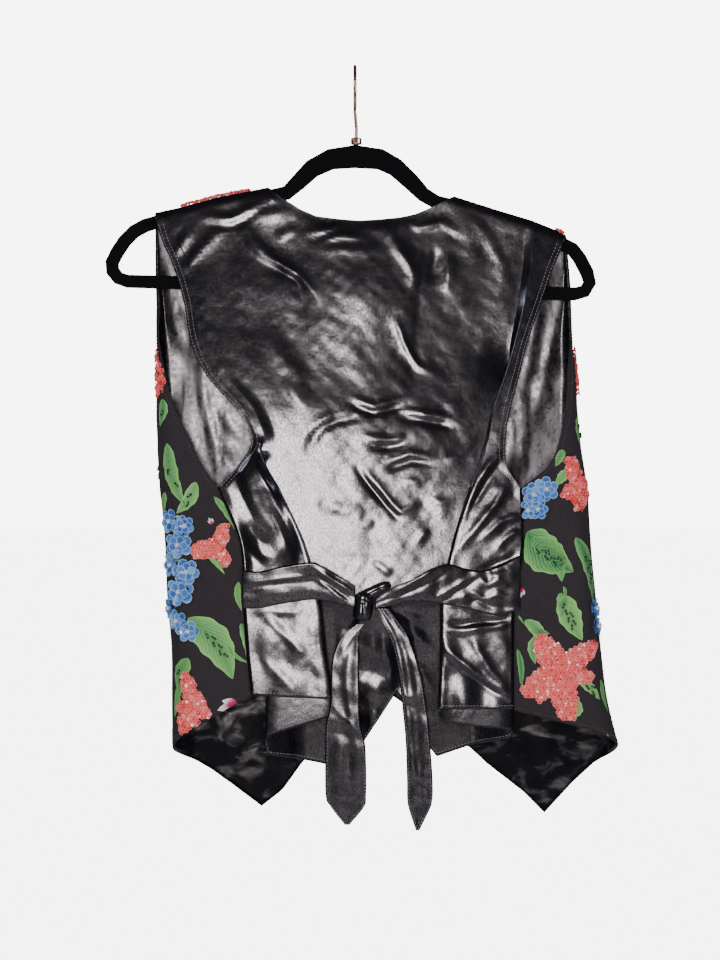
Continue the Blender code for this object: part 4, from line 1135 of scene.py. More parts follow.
class Finish:
    """A material whose nodes are added one by one and end in its Principled shader."""

    def __init__(self, name, **shader):
        self.material = bpy.data.materials.new(name)
        self.material.use_nodes = True
        self.nodes = self.material.node_tree.nodes
        self.links = self.material.node_tree.links
        self.shader = self.nodes["Principled BSDF"]
        for key, value in shader.items():
            self.set(self.shader, key.replace("_", " "), value)
        self.object_place = self.add("ShaderNodeTexCoord").outputs["Object"]
        self.height = None

    def set(self, node, key, value):
        target = node.inputs[key]
        if isinstance(value, bpy.types.NodeSocket):
            self.links.new(value, target)
        elif isinstance(value, tuple) and len(value) == 3 and target.type == "RGBA":
            target.default_value = (*value, 1.0)
        else:
            target.default_value = value

    def add(self, kind, settings=None, inputs=None):
        node = self.nodes.new(kind)
        for key, value in (settings or {}).items():
            setattr(node, key, value)
        for key, value in (inputs or {}).items():
            self.set(node, key, value)
        return node

    def noise(self, scale, detail=3.0, rough=0.55, distortion=0.0, at=None):
        """Uneven noise. The scale is in blotches to the metre."""
        node = self.add("ShaderNodeTexNoise", None, {
            "Vector": at or self.object_place, "Scale": scale, "Detail": detail,
            "Roughness": rough, "Distortion": distortion,
        })
        return node.outputs["Fac"]

    def place(self, scale, turn=(0.0, 0.0, 0.0)):
        """The object's place, stretched along its axes and turned."""
        node = self.add("ShaderNodeMapping", None, {
            "Vector": self.object_place, "Scale": scale, "Rotation": turn,
        })
        return node.outputs["Vector"]

    def steps(self, value, stops):
        """A number or a grey turned into the colours or greys of a ramp."""
        node = self.add("ShaderNodeValToRGB", None, {"Fac": value})
        ramp = node.color_ramp
        while len(ramp.elements) < len(stops):
            ramp.elements.new(0.5)
        for element, (place, color) in zip(ramp.elements, stops):
            element.position = place
            element.color = (*color, 1.0) if isinstance(color, tuple) else (color, color, color, 1.0)
        return node.outputs["Color"]

    def mix(self, share, a, b):
        """Two colours mixed. The colour sockets of the node are 6, 7 and 2."""
        node = self.add("ShaderNodeMix", {"data_type": "RGBA"}, {"Factor": share, 6: a, 7: b})
        return node.outputs[2]

    def sum(self, kind, a, b):
        return self.add("ShaderNodeMath", {"operation": kind}, {0: a, 1: b}).outputs[0]

    def bump(self, height, depth, strength=1.0):
        """Adds relief that is depth millimetres deep, on top of what is there."""
        node = self.add("ShaderNodeBump", None, {
            "Height": height, "Distance": depth * MM, "Strength": strength,
        })
        if self.height:
            self.links.new(self.height, node.inputs["Normal"])
        self.height = node.outputs["Normal"]
        self.links.new(self.height, self.shader.inputs["Normal"])

    def color(self, value):
        self.set(self.shader, "Base Color", value)

    def rough(self, value, low, high):
        node = self.add("ShaderNodeMapRange", None, {
            "Value": value, "From Min": 0.25, "From Max": 0.75, "To Min": low, "To Max": high,
        })
        self.set(self.shader, "Roughness", node.outputs["Result"])

    def weave(self, pitch, depth):
        """The over and under of two sets of threads, from the cloth's own UV map."""
        uv = self.add("ShaderNodeUVMap").outputs["UV"]
        bands = []
        for way in ("X", "Y"):
            node = self.add("ShaderNodeTexWave", {"bands_direction": way}, {
                "Vector": uv, "Scale": 0.314 / (pitch * MM), "Distortion": 0.6, "Detail": 1.0,
            })
            bands.append(node.outputs["Fac"])
        threads = self.sum("MULTIPLY", bands[0], bands[1])
        self.bump(threads, depth)
        return threads


MADE_FINISHES = {}


def times(share, color):
    """A colour made darker or lighter."""
    return tuple(share * value for value in color)


def finish_of(name, make):
    """One material of each kind, made when it is first asked for."""
    if name not in MADE_FINISHES:
        MADE_FINISHES[name] = make(name).material
    return MADE_FINISHES[name]


def satin(name):
    cloth = bpy.context.scene.waistcoat_cloth
    look = Finish(name, Sheen_Weight=0.01, Sheen_Roughness=0.3, Specular_IOR_Level=0.5,
                  Specular_Tint=(1.0, 0.93, 0.97, 1.0))
    large = look.noise(26.0, 2.0, 0.5, 0.1)
    crumple = look.noise(80.0, 2.0, 0.5, 0.1)
    mottle = look.noise(280.0, 2.0, 0.5, 0.0)
    grain = look.noise(850.0, 2.0, 0.7, 0.0, look.place((1.0, 1.0, 0.6)))
    fine = look.noise(1900.0, 2.0, 0.6, 0.0, look.place((1.0, 1.0, 0.35), (0.0, 0.5, 0.0)))
    dark = tuple(cloth.satin_color)
    look.color(look.mix(look.steps(crumple, ((0.35, 0.0), (0.7, 1.0))), dark, times(1.7, dark)))
    uneven = look.sum("ADD", look.sum("MULTIPLY", mottle, 0.6), look.sum("MULTIPLY", large, 0.4))
    look.rough(uneven, cloth.satin_roughness - 0.03, cloth.satin_roughness + 0.05)
    look.bump(large, 1.3, 0.45)
    look.bump(crumple, 0.26, 0.6)
    look.bump(mottle, 0.07, 0.5)
    look.bump(fine, 0.02, 0.4)
    look.set(look.shader, "Specular IOR Level", look.steps(grain, ((0.30, 0.24), (0.70, 0.86))))
    return look


def lining_satin(name):
    """The same satin where it lines the fronts: rougher toward the hem, where its shine is turned down
    into painted shade broken by painted glints; higher up its shine comes and goes in painted glints.
    """
    look = satin(name)
    place = look.add("ShaderNodeSeparateXYZ", None, {"Vector": look.object_place})
    low = look.add("ShaderNodeMapRange", None, {
        "Value": place.outputs["Z"], "From Min": -0.60, "From Max": -0.36,
        "To Min": 0.16, "To Max": 0.06,
    }).outputs["Result"]
    uneven = look.sum("MULTIPLY", look.noise(240.0), 0.5)
    look.set(look.shader, "Roughness", look.sum("ADD", low, uneven))
    # Painted shade: from z -0.44 down to -0.56 the shine goes over to the dull, painted shade of the
    # hem.
    hem = look.add("ShaderNodeMapRange", None, {
        "Value": place.outputs["Z"], "From Min": -0.56, "From Max": -0.44,
    }).outputs["Result"]
    # Painted glints: patches of shine on the painted shade at the hem.
    folds = look.noise(30.0, 3.0, 0.5, 1.2, look.place((1.0, 1.0, 1.8), (0.0, 0.6, 0.0)))
    glints = look.steps(folds, ((0.50, 0.04), (0.58, 0.25), (0.66, 0.6)))
    # Painted glints higher up: the shine comes and goes in long runs.
    runs = look.noise(34.0, 3.0, 0.55, 0.6, look.place((1.8, 1.8, 0.5), (0.0, 0.3, 0.0)))
    upper_painted_glints = look.steps(runs, ((0.38, 0.22), (0.50, 0.7), (0.62, 1.0)))
    look.set(look.shader, "Specular IOR Level", look.mix(hem, glints, upper_painted_glints))
    return look


def crepe(name):
    cloth = bpy.context.scene.waistcoat_cloth
    look = Finish(name, Sheen_Weight=0.02, Sheen_Roughness=0.5, Specular_IOR_Level=0.2)
    threads = look.weave(cloth.crepe_pitch * 1000.0, 0.10)
    fibres = look.noise(1400.0, 3.0, 0.65)
    patch = look.noise(60.0, 3.0, 0.5)
    dark = tuple(cloth.crepe_color)
    speck = look.steps(fibres, ((0.35, 0.0), (0.72, 1.0)))
    speck = look.mix(speck, times(0.72, dark), times(1.6, dark))
    shaded = look.mix(look.sum("MULTIPLY", threads, 0.35), speck, times(1.9, dark))
    worn = look.steps(patch, ((0.3, 0.0), (0.75, 0.35)))
    look.color(look.mix(worn, shaded, times(1.5, dark)))
    look.rough(fibres, 0.82, 0.95)
    look.bump(fibres, 0.12, 0.7)
    return look


def shade_parts(look):
    """The three numbers that each point of a joined piece carries."""
    color = look.add("ShaderNodeAttribute", {"attribute_name": "shade"}).outputs["Color"]
    parts = look.add("ShaderNodeSeparateColor", None, {"Color": color})
    return parts.outputs["Red"], parts.outputs["Green"], parts.outputs["Blue"]


def printed_leaf(name):
    trim = bpy.context.scene.waistcoat_trim
    look = Finish(name, Roughness=0.8, Specular_IOR_Level=0.3)
    uv = look.add("ShaderNodeUVMap").outputs["UV"]
    place = look.add("ShaderNodeSeparateXYZ", None, {"Vector": uv})
    along, across = place.outputs["X"], place.outputs["Y"]
    from_spine = look.sum("ABSOLUTE", look.sum("SUBTRACT", across, 0.5), 0.0)
    chance, _, other = shade_parts(look)
    veins = look.sum("MULTIPLY", along, 62.0)
    veins = look.sum("SUBTRACT", veins, look.sum("MULTIPLY", from_spine, 60.0))
    veins = look.sum("ADD", veins, look.sum("MULTIPLY", look.noise(160.0), 5.0))
    veins = look.sum("SINE", veins, 0.0)
    strokes = look.noise(420.0, 3.0, 0.6, 0.4, look.place((1.0, 1.0, 0.4)))
    deep = tuple(trim.leaf_color)
    pale = tuple(trim.leaf_light)
    middle = tuple(blend(a, b, 0.55) for a, b in zip(deep, pale))
    brush = look.sum("ADD", from_spine, look.sum("MULTIPLY", strokes, 0.25))
    green = look.mix(look.steps(brush, ((0.22, 0.0), (0.62, 1.0))), deep, middle)
    green = look.mix(look.steps(veins, ((0.55, 0.0), (0.95, 0.75))), green, pale)
    green = look.mix(look.steps(from_spine, ((0.40, 0.0), (0.48, 0.8))), green, pale)
    spine = look.steps(from_spine, ((0.0, 0.75), (0.035, 0.0)))
    green = look.mix(spine, green, times(0.45, deep))
    green = look.mix(look.sum("MULTIPLY", chance, 0.45), green, pale)
    look.color(look.mix(look.sum("MULTIPLY", other, 0.35), green, times(0.6, deep)))
    look.bump(look.noise(1400.0), 0.1, 0.7)
    return look


def printed_bud(name):
    look = Finish(name, Roughness=0.8, Specular_IOR_Level=0.3)
    uv = look.add("ShaderNodeUVMap").outputs["UV"]
    along = look.add("ShaderNodeSeparateXYZ", None, {"Vector": uv}).outputs["X"]
    uneven = look.sum("MULTIPLY", look.sum("SUBTRACT", look.noise(260.0), 0.5), 0.7)
    brush = look.sum("ADD", along, uneven)
    look.color(look.steps(brush, (
        (0.10, (0.62, 0.02, 0.10)), (0.38, (0.80, 0.10, 0.28)),
        (0.55, (0.86, 0.55, 0.62)), (0.75, (0.92, 0.86, 0.86)),
    )))
    look.bump(look.noise(1400.0), 0.1, 0.7)
    return look


# The rim colour is a painted highlight: light caught on each sequin's edge, and painted glints on a
# share of the sequins.
def sequin(name, deep, pale, rim):
    look = Finish(name, Specular_IOR_Level=0.5, Coat_Weight=0.25, Coat_Roughness=0.12)
    chance, edge, other = shade_parts(look)
    base = look.mix(look.steps(chance, ((0.15, 0.0), (0.9, 1.0))), deep, pale)
    # Painted glints: a chance share of the sequins takes the rim colour.
    base = look.mix(look.steps(other, ((0.88, 0.0), (0.99, 0.7))), base, rim)
    # Painted highlight: each sequin lightens toward the rim colour at its edge.
    base = look.mix(look.steps(edge, ((0.70, 0.0), (0.98, 0.85))), base, rim)
    look.color(look.mix(look.steps(edge, ((0.0, 0.8), (0.16, 0.0))), base, times(0.35, deep)))
    look.rough(look.noise(900.0), 0.16, 0.34)
    look.bump(look.noise(700.0), 0.05, 0.5)
    return look


def coral_sequin(name):
    color = tuple(bpy.context.scene.waistcoat_trim.coral_color)
    # The last colour is the painted highlight of the rims and glints.
    return sequin(name, color, (0.98, 0.115, 0.095), (1.0, 0.40, 0.35))


def blue_sequin(name):
    color = tuple(bpy.context.scene.waistcoat_trim.blue_color)
    # The last colour is the painted highlight of the rims and glints.
    return sequin(name, color, (0.09, 0.30, 0.72), (0.42, 0.67, 0.88))


def pearl(name):
    look = Finish(name, Specular_IOR_Level=0.6, Coat_Weight=0.7, Coat_Roughness=0.08)
    look.color(look.steps(look.noise(260.0), (
        (0.3, (0.62, 0.58, 0.60)), (0.5, (0.74, 0.72, 0.72)), (0.7, (0.66, 0.68, 0.74)),
    )))
    look.rough(look.noise(500.0), 0.14, 0.24)
    return look


def glass_bead(name):
    look = Finish(name, Specular_IOR_Level=0.8, Coat_Weight=0.6, Coat_Roughness=0.05)
    look.color(look.steps(look.noise(500.0), (
        (0.35, (0.004, 0.010, 0.007)), (0.7, (0.012, 0.040, 0.022)),
    )))
    look.rough(look.noise(900.0), 0.10, 0.20)
    return look


def thread(name, shade=0.21):
    look = Finish(name, Specular_IOR_Level=0.4, Sheen_Weight=0.2)
    tones = [tuple(share * shade * each for each in (1.0, 0.97, 1.02)) for share in (0.6, 1.4)]
    look.color(look.steps(look.noise(1500.0), ((0.3, tones[0]), (0.7, tones[1]))))
    look.rough(look.noise(700.0), 0.45, 0.65)
    look.bump(look.noise(2600.0), 0.05, 0.8)
    return look


def dark_thread(name):
    return thread(name, 0.04)


def flock(name):
    color = tuple(bpy.context.scene.waistcoat_hanger.flock_color)
    look = Finish(name, Sheen_Weight=0.04, Sheen_Roughness=0.45, Specular_IOR_Level=0.1)
    fuzz = look.noise(2400.0, 3.0, 0.7)
    worn = look.noise(45.0, 3.0, 0.5)
    base = look.mix(look.steps(fuzz, ((0.4, 0.0), (0.75, 1.0))), color, times(2.6, color))
    look.color(look.mix(look.steps(worn, ((0.55, 0.0), (0.8, 0.5))), base, times(2.2, color)))
    look.rough(fuzz, 0.9, 1.0)
    look.bump(fuzz, 0.18, 0.9)
    return look


def copper(name):
    color = tuple(bpy.context.scene.waistcoat_hanger.copper_color)
    look = Finish(name, Metallic=1.0)
    tarnish = look.noise(140.0, 4.0, 0.6)
    look.color(look.mix(look.steps(tarnish, ((0.4, 0.0), (0.75, 0.7))), color, times(0.72, color)))
    look.rough(tarnish, 0.16, 0.34)
    look.bump(look.noise(900.0, 2.0, 0.5, 0.0, look.place((1.0, 1.0, 0.15))), 0.02, 0.5)
    return look


def button_plastic(name):
    look = Finish(name, Specular_IOR_Level=0.5, Coat_Weight=0.3, Coat_Roughness=0.1)
    swirl = look.noise(180.0, 4.0, 0.6, 1.6)
    look.color(look.steps(swirl, ((0.35, (0.010, 0.010, 0.011)), (0.7, (0.032, 0.030, 0.032)))))
    look.rough(swirl, 0.22, 0.36)
    look.bump(look.noise(1200.0), 0.02, 0.5)
    return look


def pale_floor(name):
    stage = bpy.context.scene.waistcoat_stage
    look = Finish(name, Specular_IOR_Level=0.2)
    color = tuple(stage.floor_color)
    look.color(look.mix(look.noise(3.0, 4.0), color, times(0.985, color)))
    look.rough(look.noise(40.0), 0.75, 0.85)
    glow = look.add("ShaderNodeEmission", None, {"Color": color, "Strength": stage.paper_strength})
    seen = look.add("ShaderNodeLightPath").outputs["Is Camera Ray"]
    mixed = look.add("ShaderNodeMixShader", None, {"Fac": seen})
    look.links.new(look.shader.outputs["BSDF"], mixed.inputs[1])
    look.links.new(glow.outputs["Emission"], mixed.inputs[2])
    look.links.new(mixed.outputs["Shader"], look.nodes["Material Output"].inputs["Surface"])
    return look


# Print and sequins on the fronts


def leaf_outline(t):
    """Half the width of a leaf along its length, 1 at its widest."""
    return np.sin(math.pi * t**0.72) ** 0.85


def pointing(way):
    """The ways along a leaf and across it, from the degrees that it points in."""
    angle = math.radians(way)
    spine = Vector((math.cos(angle), math.sin(angle)))
    return spine, Vector((-spine.y, spine.x))


def add_leaf(shape, layers, cloth, u, z, way, long, wide, bend, chance, wavy=0.06):
    """One printed leaf: a thin sheet that lies on the cloth."""
    uv_layer, shade = layers
    along_steps = (LARGE_GRID if long > LARGE_LEAF else SMALL_GRID)[0]
    across_steps = (LARGE_GRID if wide > WIDE_LEAF else SMALL_GRID)[1]
    made = bmesh.ops.create_grid(
        shape, x_segments=along_steps, y_segments=across_steps, size=1.0,
    )["verts"]
    spine, across = pointing(way)
    facing = cloth.frame_at(u, z)[3]
    tone = (chance.random(), 0.0, chance.random(), 1.0)
    ripple = chance.uniform(0.0, math.tau)
    marks = {}
    for vert in made:
        t, v = (vert.co.x + 1.0) / 2.0, vert.co.y
        marks[vert] = (t, (v + 1.0) / 2.0)
        half = wide / 2 * max(0.02, float(leaf_outline(t)))
        half *= 1.0 + wavy * math.sin(t * 26.0 + ripple + (2.0 if v > 0 else 0.0)) * abs(v) ** 3
        flat = spine * (t * long) + across * (v * half + bend * math.sin(math.pi * t))
        held = cloth.held(u + cloth.side * flat.x, z + flat.y, PRINT_INSET)
        vert.co = cloth.frame_at(*held, PRINT_LIFT)[0] * MM
        vert[shade] = tone
    for face in {face for vert in made for face in vert.link_faces}:
        for loop in face.loops:
            loop[uv_layer].uv = marks[loop.vert]
        face.normal_update()
        if face.normal.dot(facing) < -0.2:
            face.normal_flip()


def add_bead(shape, place, along, out):
    """A glass tube bead that lies on the cloth."""
    side = out.cross(along).normalized()
    turn = Matrix((side, along.cross(side), along)).transposed().to_4x4()
    middle = (place + out * (BEAD_RADIUS + 0.15)) * MM
    bmesh.ops.create_cone(
        shape, cap_ends=True, segments=6, radius1=BEAD_RADIUS * MM, radius2=BEAD_RADIUS * MM,
        depth=BEAD_LONG * MM, matrix=Matrix.Translation(middle) @ turn,
    )


def add_sequin(shape, shade, place, along, out, radius, cup, tone):
    """A small cupped disc: a fan of eight faces round a sunken middle."""
    side = out.cross(along).normalized()
    turn = Matrix((side.cross(out), side, out)).transposed().to_4x4()
    made = bmesh.ops.create_circle(
        shape, cap_ends=True, cap_tris=True, segments=8, radius=radius * MM,
        matrix=Matrix.Translation(place * MM) @ turn,
    )["verts"]
    for vert in made:
        away = (vert.co - place * MM).length / (radius * MM)
        vert[shade] = (tone[0], away, tone[1], 1.0)
        if away < 0.5:
            vert.co -= out * (cup * MM)


def tilted(along, up, out, chance, most):
    """The ways of a sequin that leans a little."""
    lean = out + along * chance.uniform(-most, most) + up * chance.uniform(-most, most)
    lean.normalize()
    return (along - lean * along.dot(lean)).normalized(), lean


def petal_holds(petal, x, z):
    """How deep in a petal a place is: 0 at its edge or outside, 1 on its middle line."""
    way, long, wide = petal
    angle = math.radians(way)
    t = (x * math.cos(angle) + z * math.sin(angle)) / long
    away = abs(-x * math.sin(angle) + z * math.cos(angle))
    if t < -0.08 or t > 1.0:
        return 0.0
    half = wide / 2 * max(0.0, math.sin(math.pi * min(1.0, max(0.0, 0.16 + 0.80 * t)))) ** 0.6
    return max(0.0, 1.0 - away / half) if half > 0.0 else 0.0


def add_coral(shape, shade, cloth, u, z, petals, chance):
    """A flower of overlapping sequins, set in rows inside its petals."""
    far = max(petal[1] for petal in petals) + 2
    steps = int(far / SEQUIN_PITCH) + 1
    for j in range(-steps, steps + 1):
        for i in range(-steps, steps + 1):
            x = (i + 0.5 * (j % 2)) * SEQUIN_PITCH + chance.uniform(-SEQUIN_JITTER, SEQUIN_JITTER)
            height = j * SEQUIN_PITCH * 0.87 + chance.uniform(-SEQUIN_JITTER, SEQUIN_JITTER)
            deep = max(petal_holds(petal, x, height) for petal in petals)
            if deep <= 0.04 or not cloth.holds(u + cloth.side * x, z + height, 1.0):
                continue
            lift = 0.7 + 0.8 * min(1.0, deep * 1.6) + chance.uniform(0.0, 0.5)
            place, along, up, out = cloth.frame_at(u + cloth.side * x, z + height, lift)
            along, out = tilted(along, up, out, chance, SEQUIN_LEAN)
            tone = (chance.random(), chance.random())
            radius = SEQUIN_RADIUS * chance.uniform(0.85, 1.1)
            add_sequin(shape, shade, place, along, out, radius, SEQUIN_CUP, tone)


def add_blossom(shape, shade, pearls, cloth, u, z, size, turn, chance):
    """A blossom: two rings of cupped petals round a pearl."""
    for ring, (count, reach, radius, lift) in enumerate(BLOSSOM_RINGS):
        for k in range(count):
            angle = math.radians(turn + 36 * ring) + math.tau * k / count
            x = size * reach * math.cos(angle)
            height = size * reach * math.sin(angle)
            if not cloth.holds(u + cloth.side * x, z + height, 1.0):
                continue
            place, along, up, out = cloth.frame_at(u + cloth.side * x, z + height, lift + 0.12 * k)
            away = along * (cloth.side * math.cos(angle)) + up * math.sin(angle)
            lean = (out - away * PETAL_LEAN).normalized()
            level = (along - lean * along.dot(lean)).normalized()
            tone = (chance.random(), chance.random())
            place += away * 0.6
            add_sequin(shape, shade, place, level, lean, size * radius, PETAL_CUP, tone)
    if cloth.holds(u, z, 2.0):
        place = cloth.frame_at(u, z, PEARL_LIFT)[0]
        bmesh.ops.create_icosphere(
            pearls, subdivisions=2, radius=PEARL_RADIUS * MM, matrix=Matrix.Translation(place * MM),
        )


def add_beads_on_leaf(beads, cloth, u, z, way, long, bend, count, chance):
    """Tube beads along both sides of a leaf's spine."""
    spine, across = pointing(way)
    for k in range(count):
        t = 0.30 + 0.42 * (k + 0.5) / count
        hand = 1 if k % 2 else -1
        beside = (1.5 + 1.0 * chance.random()) * hand * (count > 1)
        flat = spine * (t * long) + across * (bend * math.sin(math.pi * t) + beside)
        if not cloth.holds(u + cloth.side * flat.x, z + flat.y, 3.0):
            continue
        place, along, up, out = cloth.frame_at(u + cloth.side * flat.x, z + flat.y)
        lean = spine.x * cloth.side * along + spine.y * up
        slant = (along * across.x * cloth.side + up * across.y) * BEAD_SLANT * hand
        add_bead(beads, place, (lean + slant).normalized(), out)


# Strips of the belt and the knot


def smooth_rows(table, steps):
    """The stations of a strip, with points between them on a smooth curve."""
    table = np.array(table, dtype=float)
    rows = []
    for k, (a, b) in enumerate(zip(table, table[1:])):
        slope_a = (b - table[max(0, k - 1)]) / 2
        slope_b = (table[min(len(table) - 1, k + 2)] - a) / 2
        rows += [curve(step / steps, a, slope_a, b, slope_b) for step in range(steps)]
    return rows + [table[-1]]


def strip_surface(table, level, folds, crease_scale):
    """A band's points: it lies level along X, or hangs down along Z."""
    high, size, seed = STRIP_RUMPLE
    share = np.linspace(0.0, 1.0, STRIP_COLUMNS + 1)
    grid = []
    for place, lower, upper, depth, lean in smooth_rows(table, STRIP_ROWS_EACH):
        across = blend(lower, upper, share)
        full = min(1.0, abs(upper - lower) / STRIP_CREASED_FROM)
        y = depth - STRIP_RIDGE * np.sin(2 * math.pi * share) ** 2 - lean * share
        at = np.full_like(across, place)
        x, z = (at, across) if level else (across, at)
        rise = creases(x, z, folds) * crease_scale * full * (1.0 if level else TIE_CALM)
        rise = rise + high * rumple(x, z, size, seed) * full
        grid.append(np.stack([x, y - np.clip(rise, STRIP_TROUGH, STRIP_HIGHEST), z], axis=1))
    return np.array(grid)


def wrapped_form(shape, centre, radii, turn, start, fullness):
    """Adds a full soft form of gathered cloth, with its pleats running along it."""
    made = bmesh.ops.create_uvsphere(shape, u_segments=56, v_segments=40, radius=1.0)["verts"]
    tilt = Matrix.Rotation(math.radians(turn), 3, "Y")
    for vert in made:
        level = min(1.0, abs(vert.co.z))
        width = math.sqrt(max(0.0, 1.0 - level**2))
        fuller = (1.0 - level**fullness) ** (1 / fullness) / width if width > 0.01 else 1.0
        angle = math.atan2(vert.co.y, vert.co.x)
        wander = 0.5 * math.sin(2.2 * vert.co.z + start)
        fold = 0.075 * math.sin(5.0 * angle + start + 2.0 * wander)
        pleat = 0.030 * math.sin(13.0 * angle + 1.7 * start + 3.0 * wander)
        pinch = -0.07 * math.exp(-((vert.co.z - 0.35) / 0.16) ** 2)
        swell = 1.0 + (fold + pleat + pinch) * min(1.0, width * 1.6)
        vert.co.x *= radii[0] * fuller * swell
        vert.co.y *= radii[1] * fuller * swell
        vert.co.z *= radii[2]
        vert.co = (tilt @ vert.co + Vector(centre)) * MM


def knot_shape():
    """The knot, and the loop of the belt that passes over its top to the right."""
    shape = bmesh.new()
    wrapped_form(shape, *KNOT)
    wrapped_form(shape, *KNOT_LOOP)
    return shape


def turned_button(centre):
    """A turned button with a rim and a dished face."""
    shape = bmesh.new()
    radius, half = BUTTON_RADIUS, BUTTON_THICK / 2
    profile = (
        (0.0, -half), (radius - 0.8, -half), (radius, -half + 0.7), (radius, half - 0.7),
        (radius - 0.7, half), (radius - 1.6, half - 0.15), (radius - 2.6, half - 0.8),
        (0.0, half - 0.9),
    )
    chain = [shape.verts.new((x * MM, 0.0, z * MM)) for x, z in profile]
    edges = [shape.edges.new(pair) for pair in zip(chain, chain[1:])]
    bmesh.ops.spin(shape, geom=chain + edges, cent=(0, 0, 0), axis=(0, 0, 1), angle=math.tau,
                   steps=36, use_merge=True)
    bmesh.ops.remove_doubles(shape, verts=shape.verts, dist=0.00002)
    bmesh.ops.recalc_face_normals(shape, faces=shape.faces)
    stand_up(shape, centre)
    return shape


def stand_up(shape, centre):
    """Turns a shape that lies flat so that its top faces +Y, and puts it in its place."""
    turn = Matrix.Rotation(-math.pi / 2, 3, "X")
    bmesh.ops.rotate(shape, verts=shape.verts, cent=(0, 0, 0), matrix=turn)
    bmesh.ops.translate(shape, verts=shape.verts, vec=Vector(centre) * MM)


# Settings


def tint(name, description, color):
    return bpy.props.FloatVectorProperty(
        name=name, description=description, subtype="COLOR", size=3, min=0.0, max=1.0, default=color)


class WaistcoatCloth(bpy.types.PropertyGroup):
    satin_color: tint("Satin", "Colour of the satin back, belt and lining", (0.0035, 0.0034, 0.0045))
    satin_roughness: bpy.props.FloatProperty(
        name="Satin roughness", description="How soft the satin's shine is",
        subtype="FACTOR", min=0.1, max=0.9, default=0.17)
    crepe_color: tint("Crepe", "Ground colour of the printed crepe fronts", (0.026, 0.0215, 0.0235))
    crepe_pitch: bpy.props.FloatProperty(
        name="Crepe thread", description="From one thread of the crepe to the next",
        subtype="DISTANCE", unit="LENGTH", min=0.0002, max=0.003, default=0.0009)
    crease_scale: bpy.props.FloatProperty(
        name="Creases", description="How far the creases stand out, as a share of what was seen",
        subtype="FACTOR", min=0.0, max=1.5, default=0.48)


class WaistcoatTrim(bpy.types.PropertyGroup):
    coral_color: tint("Coral sequins", "Deeper colour of the coral sequins", (0.90, 0.028, 0.026))
    blue_color: tint("Blue sequins", "Deeper colour of the blue sequins", (0.030, 0.13, 0.50))
    leaf_color: tint("Leaf green", "Deep green of the printed leaves", (0.014, 0.16, 0.070))
    leaf_light: tint("Leaf light", "Yellow green of the leaves' rims and veins", (0.36, 0.78, 0.20))


class WaistcoatHanger(bpy.types.PropertyGroup):
    flock_color: tint("Flock", "Colour of the hanger's flock", (0.0025, 0.0025, 0.003))
    copper_color: tint("Hook", "Colour of the hook and its collar", (0.84, 0.45, 0.33))


class WaistcoatStage(bpy.types.PropertyGroup):
    floor_color: tint("Floor", "Colour of the floor", (0.88, 0.88, 0.88))
    floor_drop: bpy.props.FloatProperty(
        name="Floor height", description="How far the floor is below the rail",
        subtype="DISTANCE", unit="LENGTH", min=0.7, max=2.0, default=1.05)
    soft_light: bpy.props.FloatProperty(
        name="Soft light", description="Power of the large light in front",
        unit="POWER", min=1.0, max=400.0, default=30.0)
    sky_strength: bpy.props.FloatProperty(
        name="Surround", description="How much light comes from the surround",
        min=0.0, max=5.0, default=0.06)
    paper_strength: bpy.props.FloatProperty(
        name="Paper", description="How bright the pale surround and floor look behind the piece",
        min=0.0, max=20.0, default=7.0)


# Operators: one for each piece or group of like pieces, and one for the stage


class WAISTCOAT_OT_back(bpy.types.Operator):
    """Make the satin back with its two pulled-in folds and its creases"""

    bl_idname = "waistcoat.back"
    bl_label = "Back"

    def execute(self, context):
        grid = back_surface(context.scene.waistcoat_cloth.crease_scale)
        back = cloth_sheet("back_panel", grid, finish_of("black satin", satin), True)
        add_wall(back, BACK_WALL, 0.0)
        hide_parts("back")
        return {"FINISHED"}


class WAISTCOAT_OT_fronts(bpy.types.Operator):
    """Make the two crepe fronts and the satin linings inside them"""

    bl_idname = "waistcoat.fronts"
    bl_label = "Fronts and linings"

    def execute(self, context):
        scale = context.scene.waistcoat_cloth.crease_scale
        for side, word, folds in ((-1, "left", LINING_L_CREASES), (1, "right", LINING_R_CREASES)):
            outer, out, columns = crepe_surface(side)
            look = finish_of("black crepe", crepe)
            crepe_piece = cloth_sheet("crepe_" + word, outer, look, side < 0)
            add_wall(crepe_piece, CREPE_WALL, 1.0)
            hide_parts("front_" + word)
            inner, ways = outer[2:], out[2:]
            x, z = inner[..., 0], inner[..., 2]
            room = level_values("far", z) - LINING_WALL - LINING_GAP - LINING_CLEAR_OF_BAR
            room = np.where(z > BEHIND_BAR_Z, room, LINING_ROOM_BELOW)
            rise = creases(x, z, folds) + 0.5 + 0.5 * rumple(x, z, LINING_RUMPLE_SIZE, 12 + side)
            far = np.array([1.0 if part == "far" else float(1.0 - ease(share / LINING_WRAP_SHARE))
                            for part, share in columns])
            rise = np.clip(rise * scale * LINING_FULLER, 0.0, np.maximum(room, 0.0)) * far[None, :]
            rise *= ease(np.arange(len(inner)) / LINING_STILL_ROWS)[:, None]
            inner = inner - ways * (LINING_GAP + rise[..., None])
            look = finish_of("lining satin", lining_satin)
            lining = cloth_sheet("lining_sheet_" + word, inner, look, side < 0)
            add_wall(lining, LINING_WALL, -1.0)
            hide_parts("lining_" + word)
        return {"FINISHED"}


class WAISTCOAT_OT_belt(bpy.types.Operator):
    """Make the satin belt, its hanging ends and its knot"""

    bl_idname = "waistcoat.belt"
    bl_label = "Belt and knot"

    def execute(self, context):
        scale = context.scene.waistcoat_cloth.crease_scale
        look = finish_of("black satin", satin)
        knot = new_piece("belt_knot", knot_shape(), look)
        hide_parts("knot")
        for name, table, level, flip, folds, flat, area in STRIPS:
            band = cloth_sheet("sewn_" + name, strip_surface(table, level, folds, scale), look, flip)
            add_wall(band, BELT_WALL, 0.0)
            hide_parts(name)
        return {"FINISHED"}


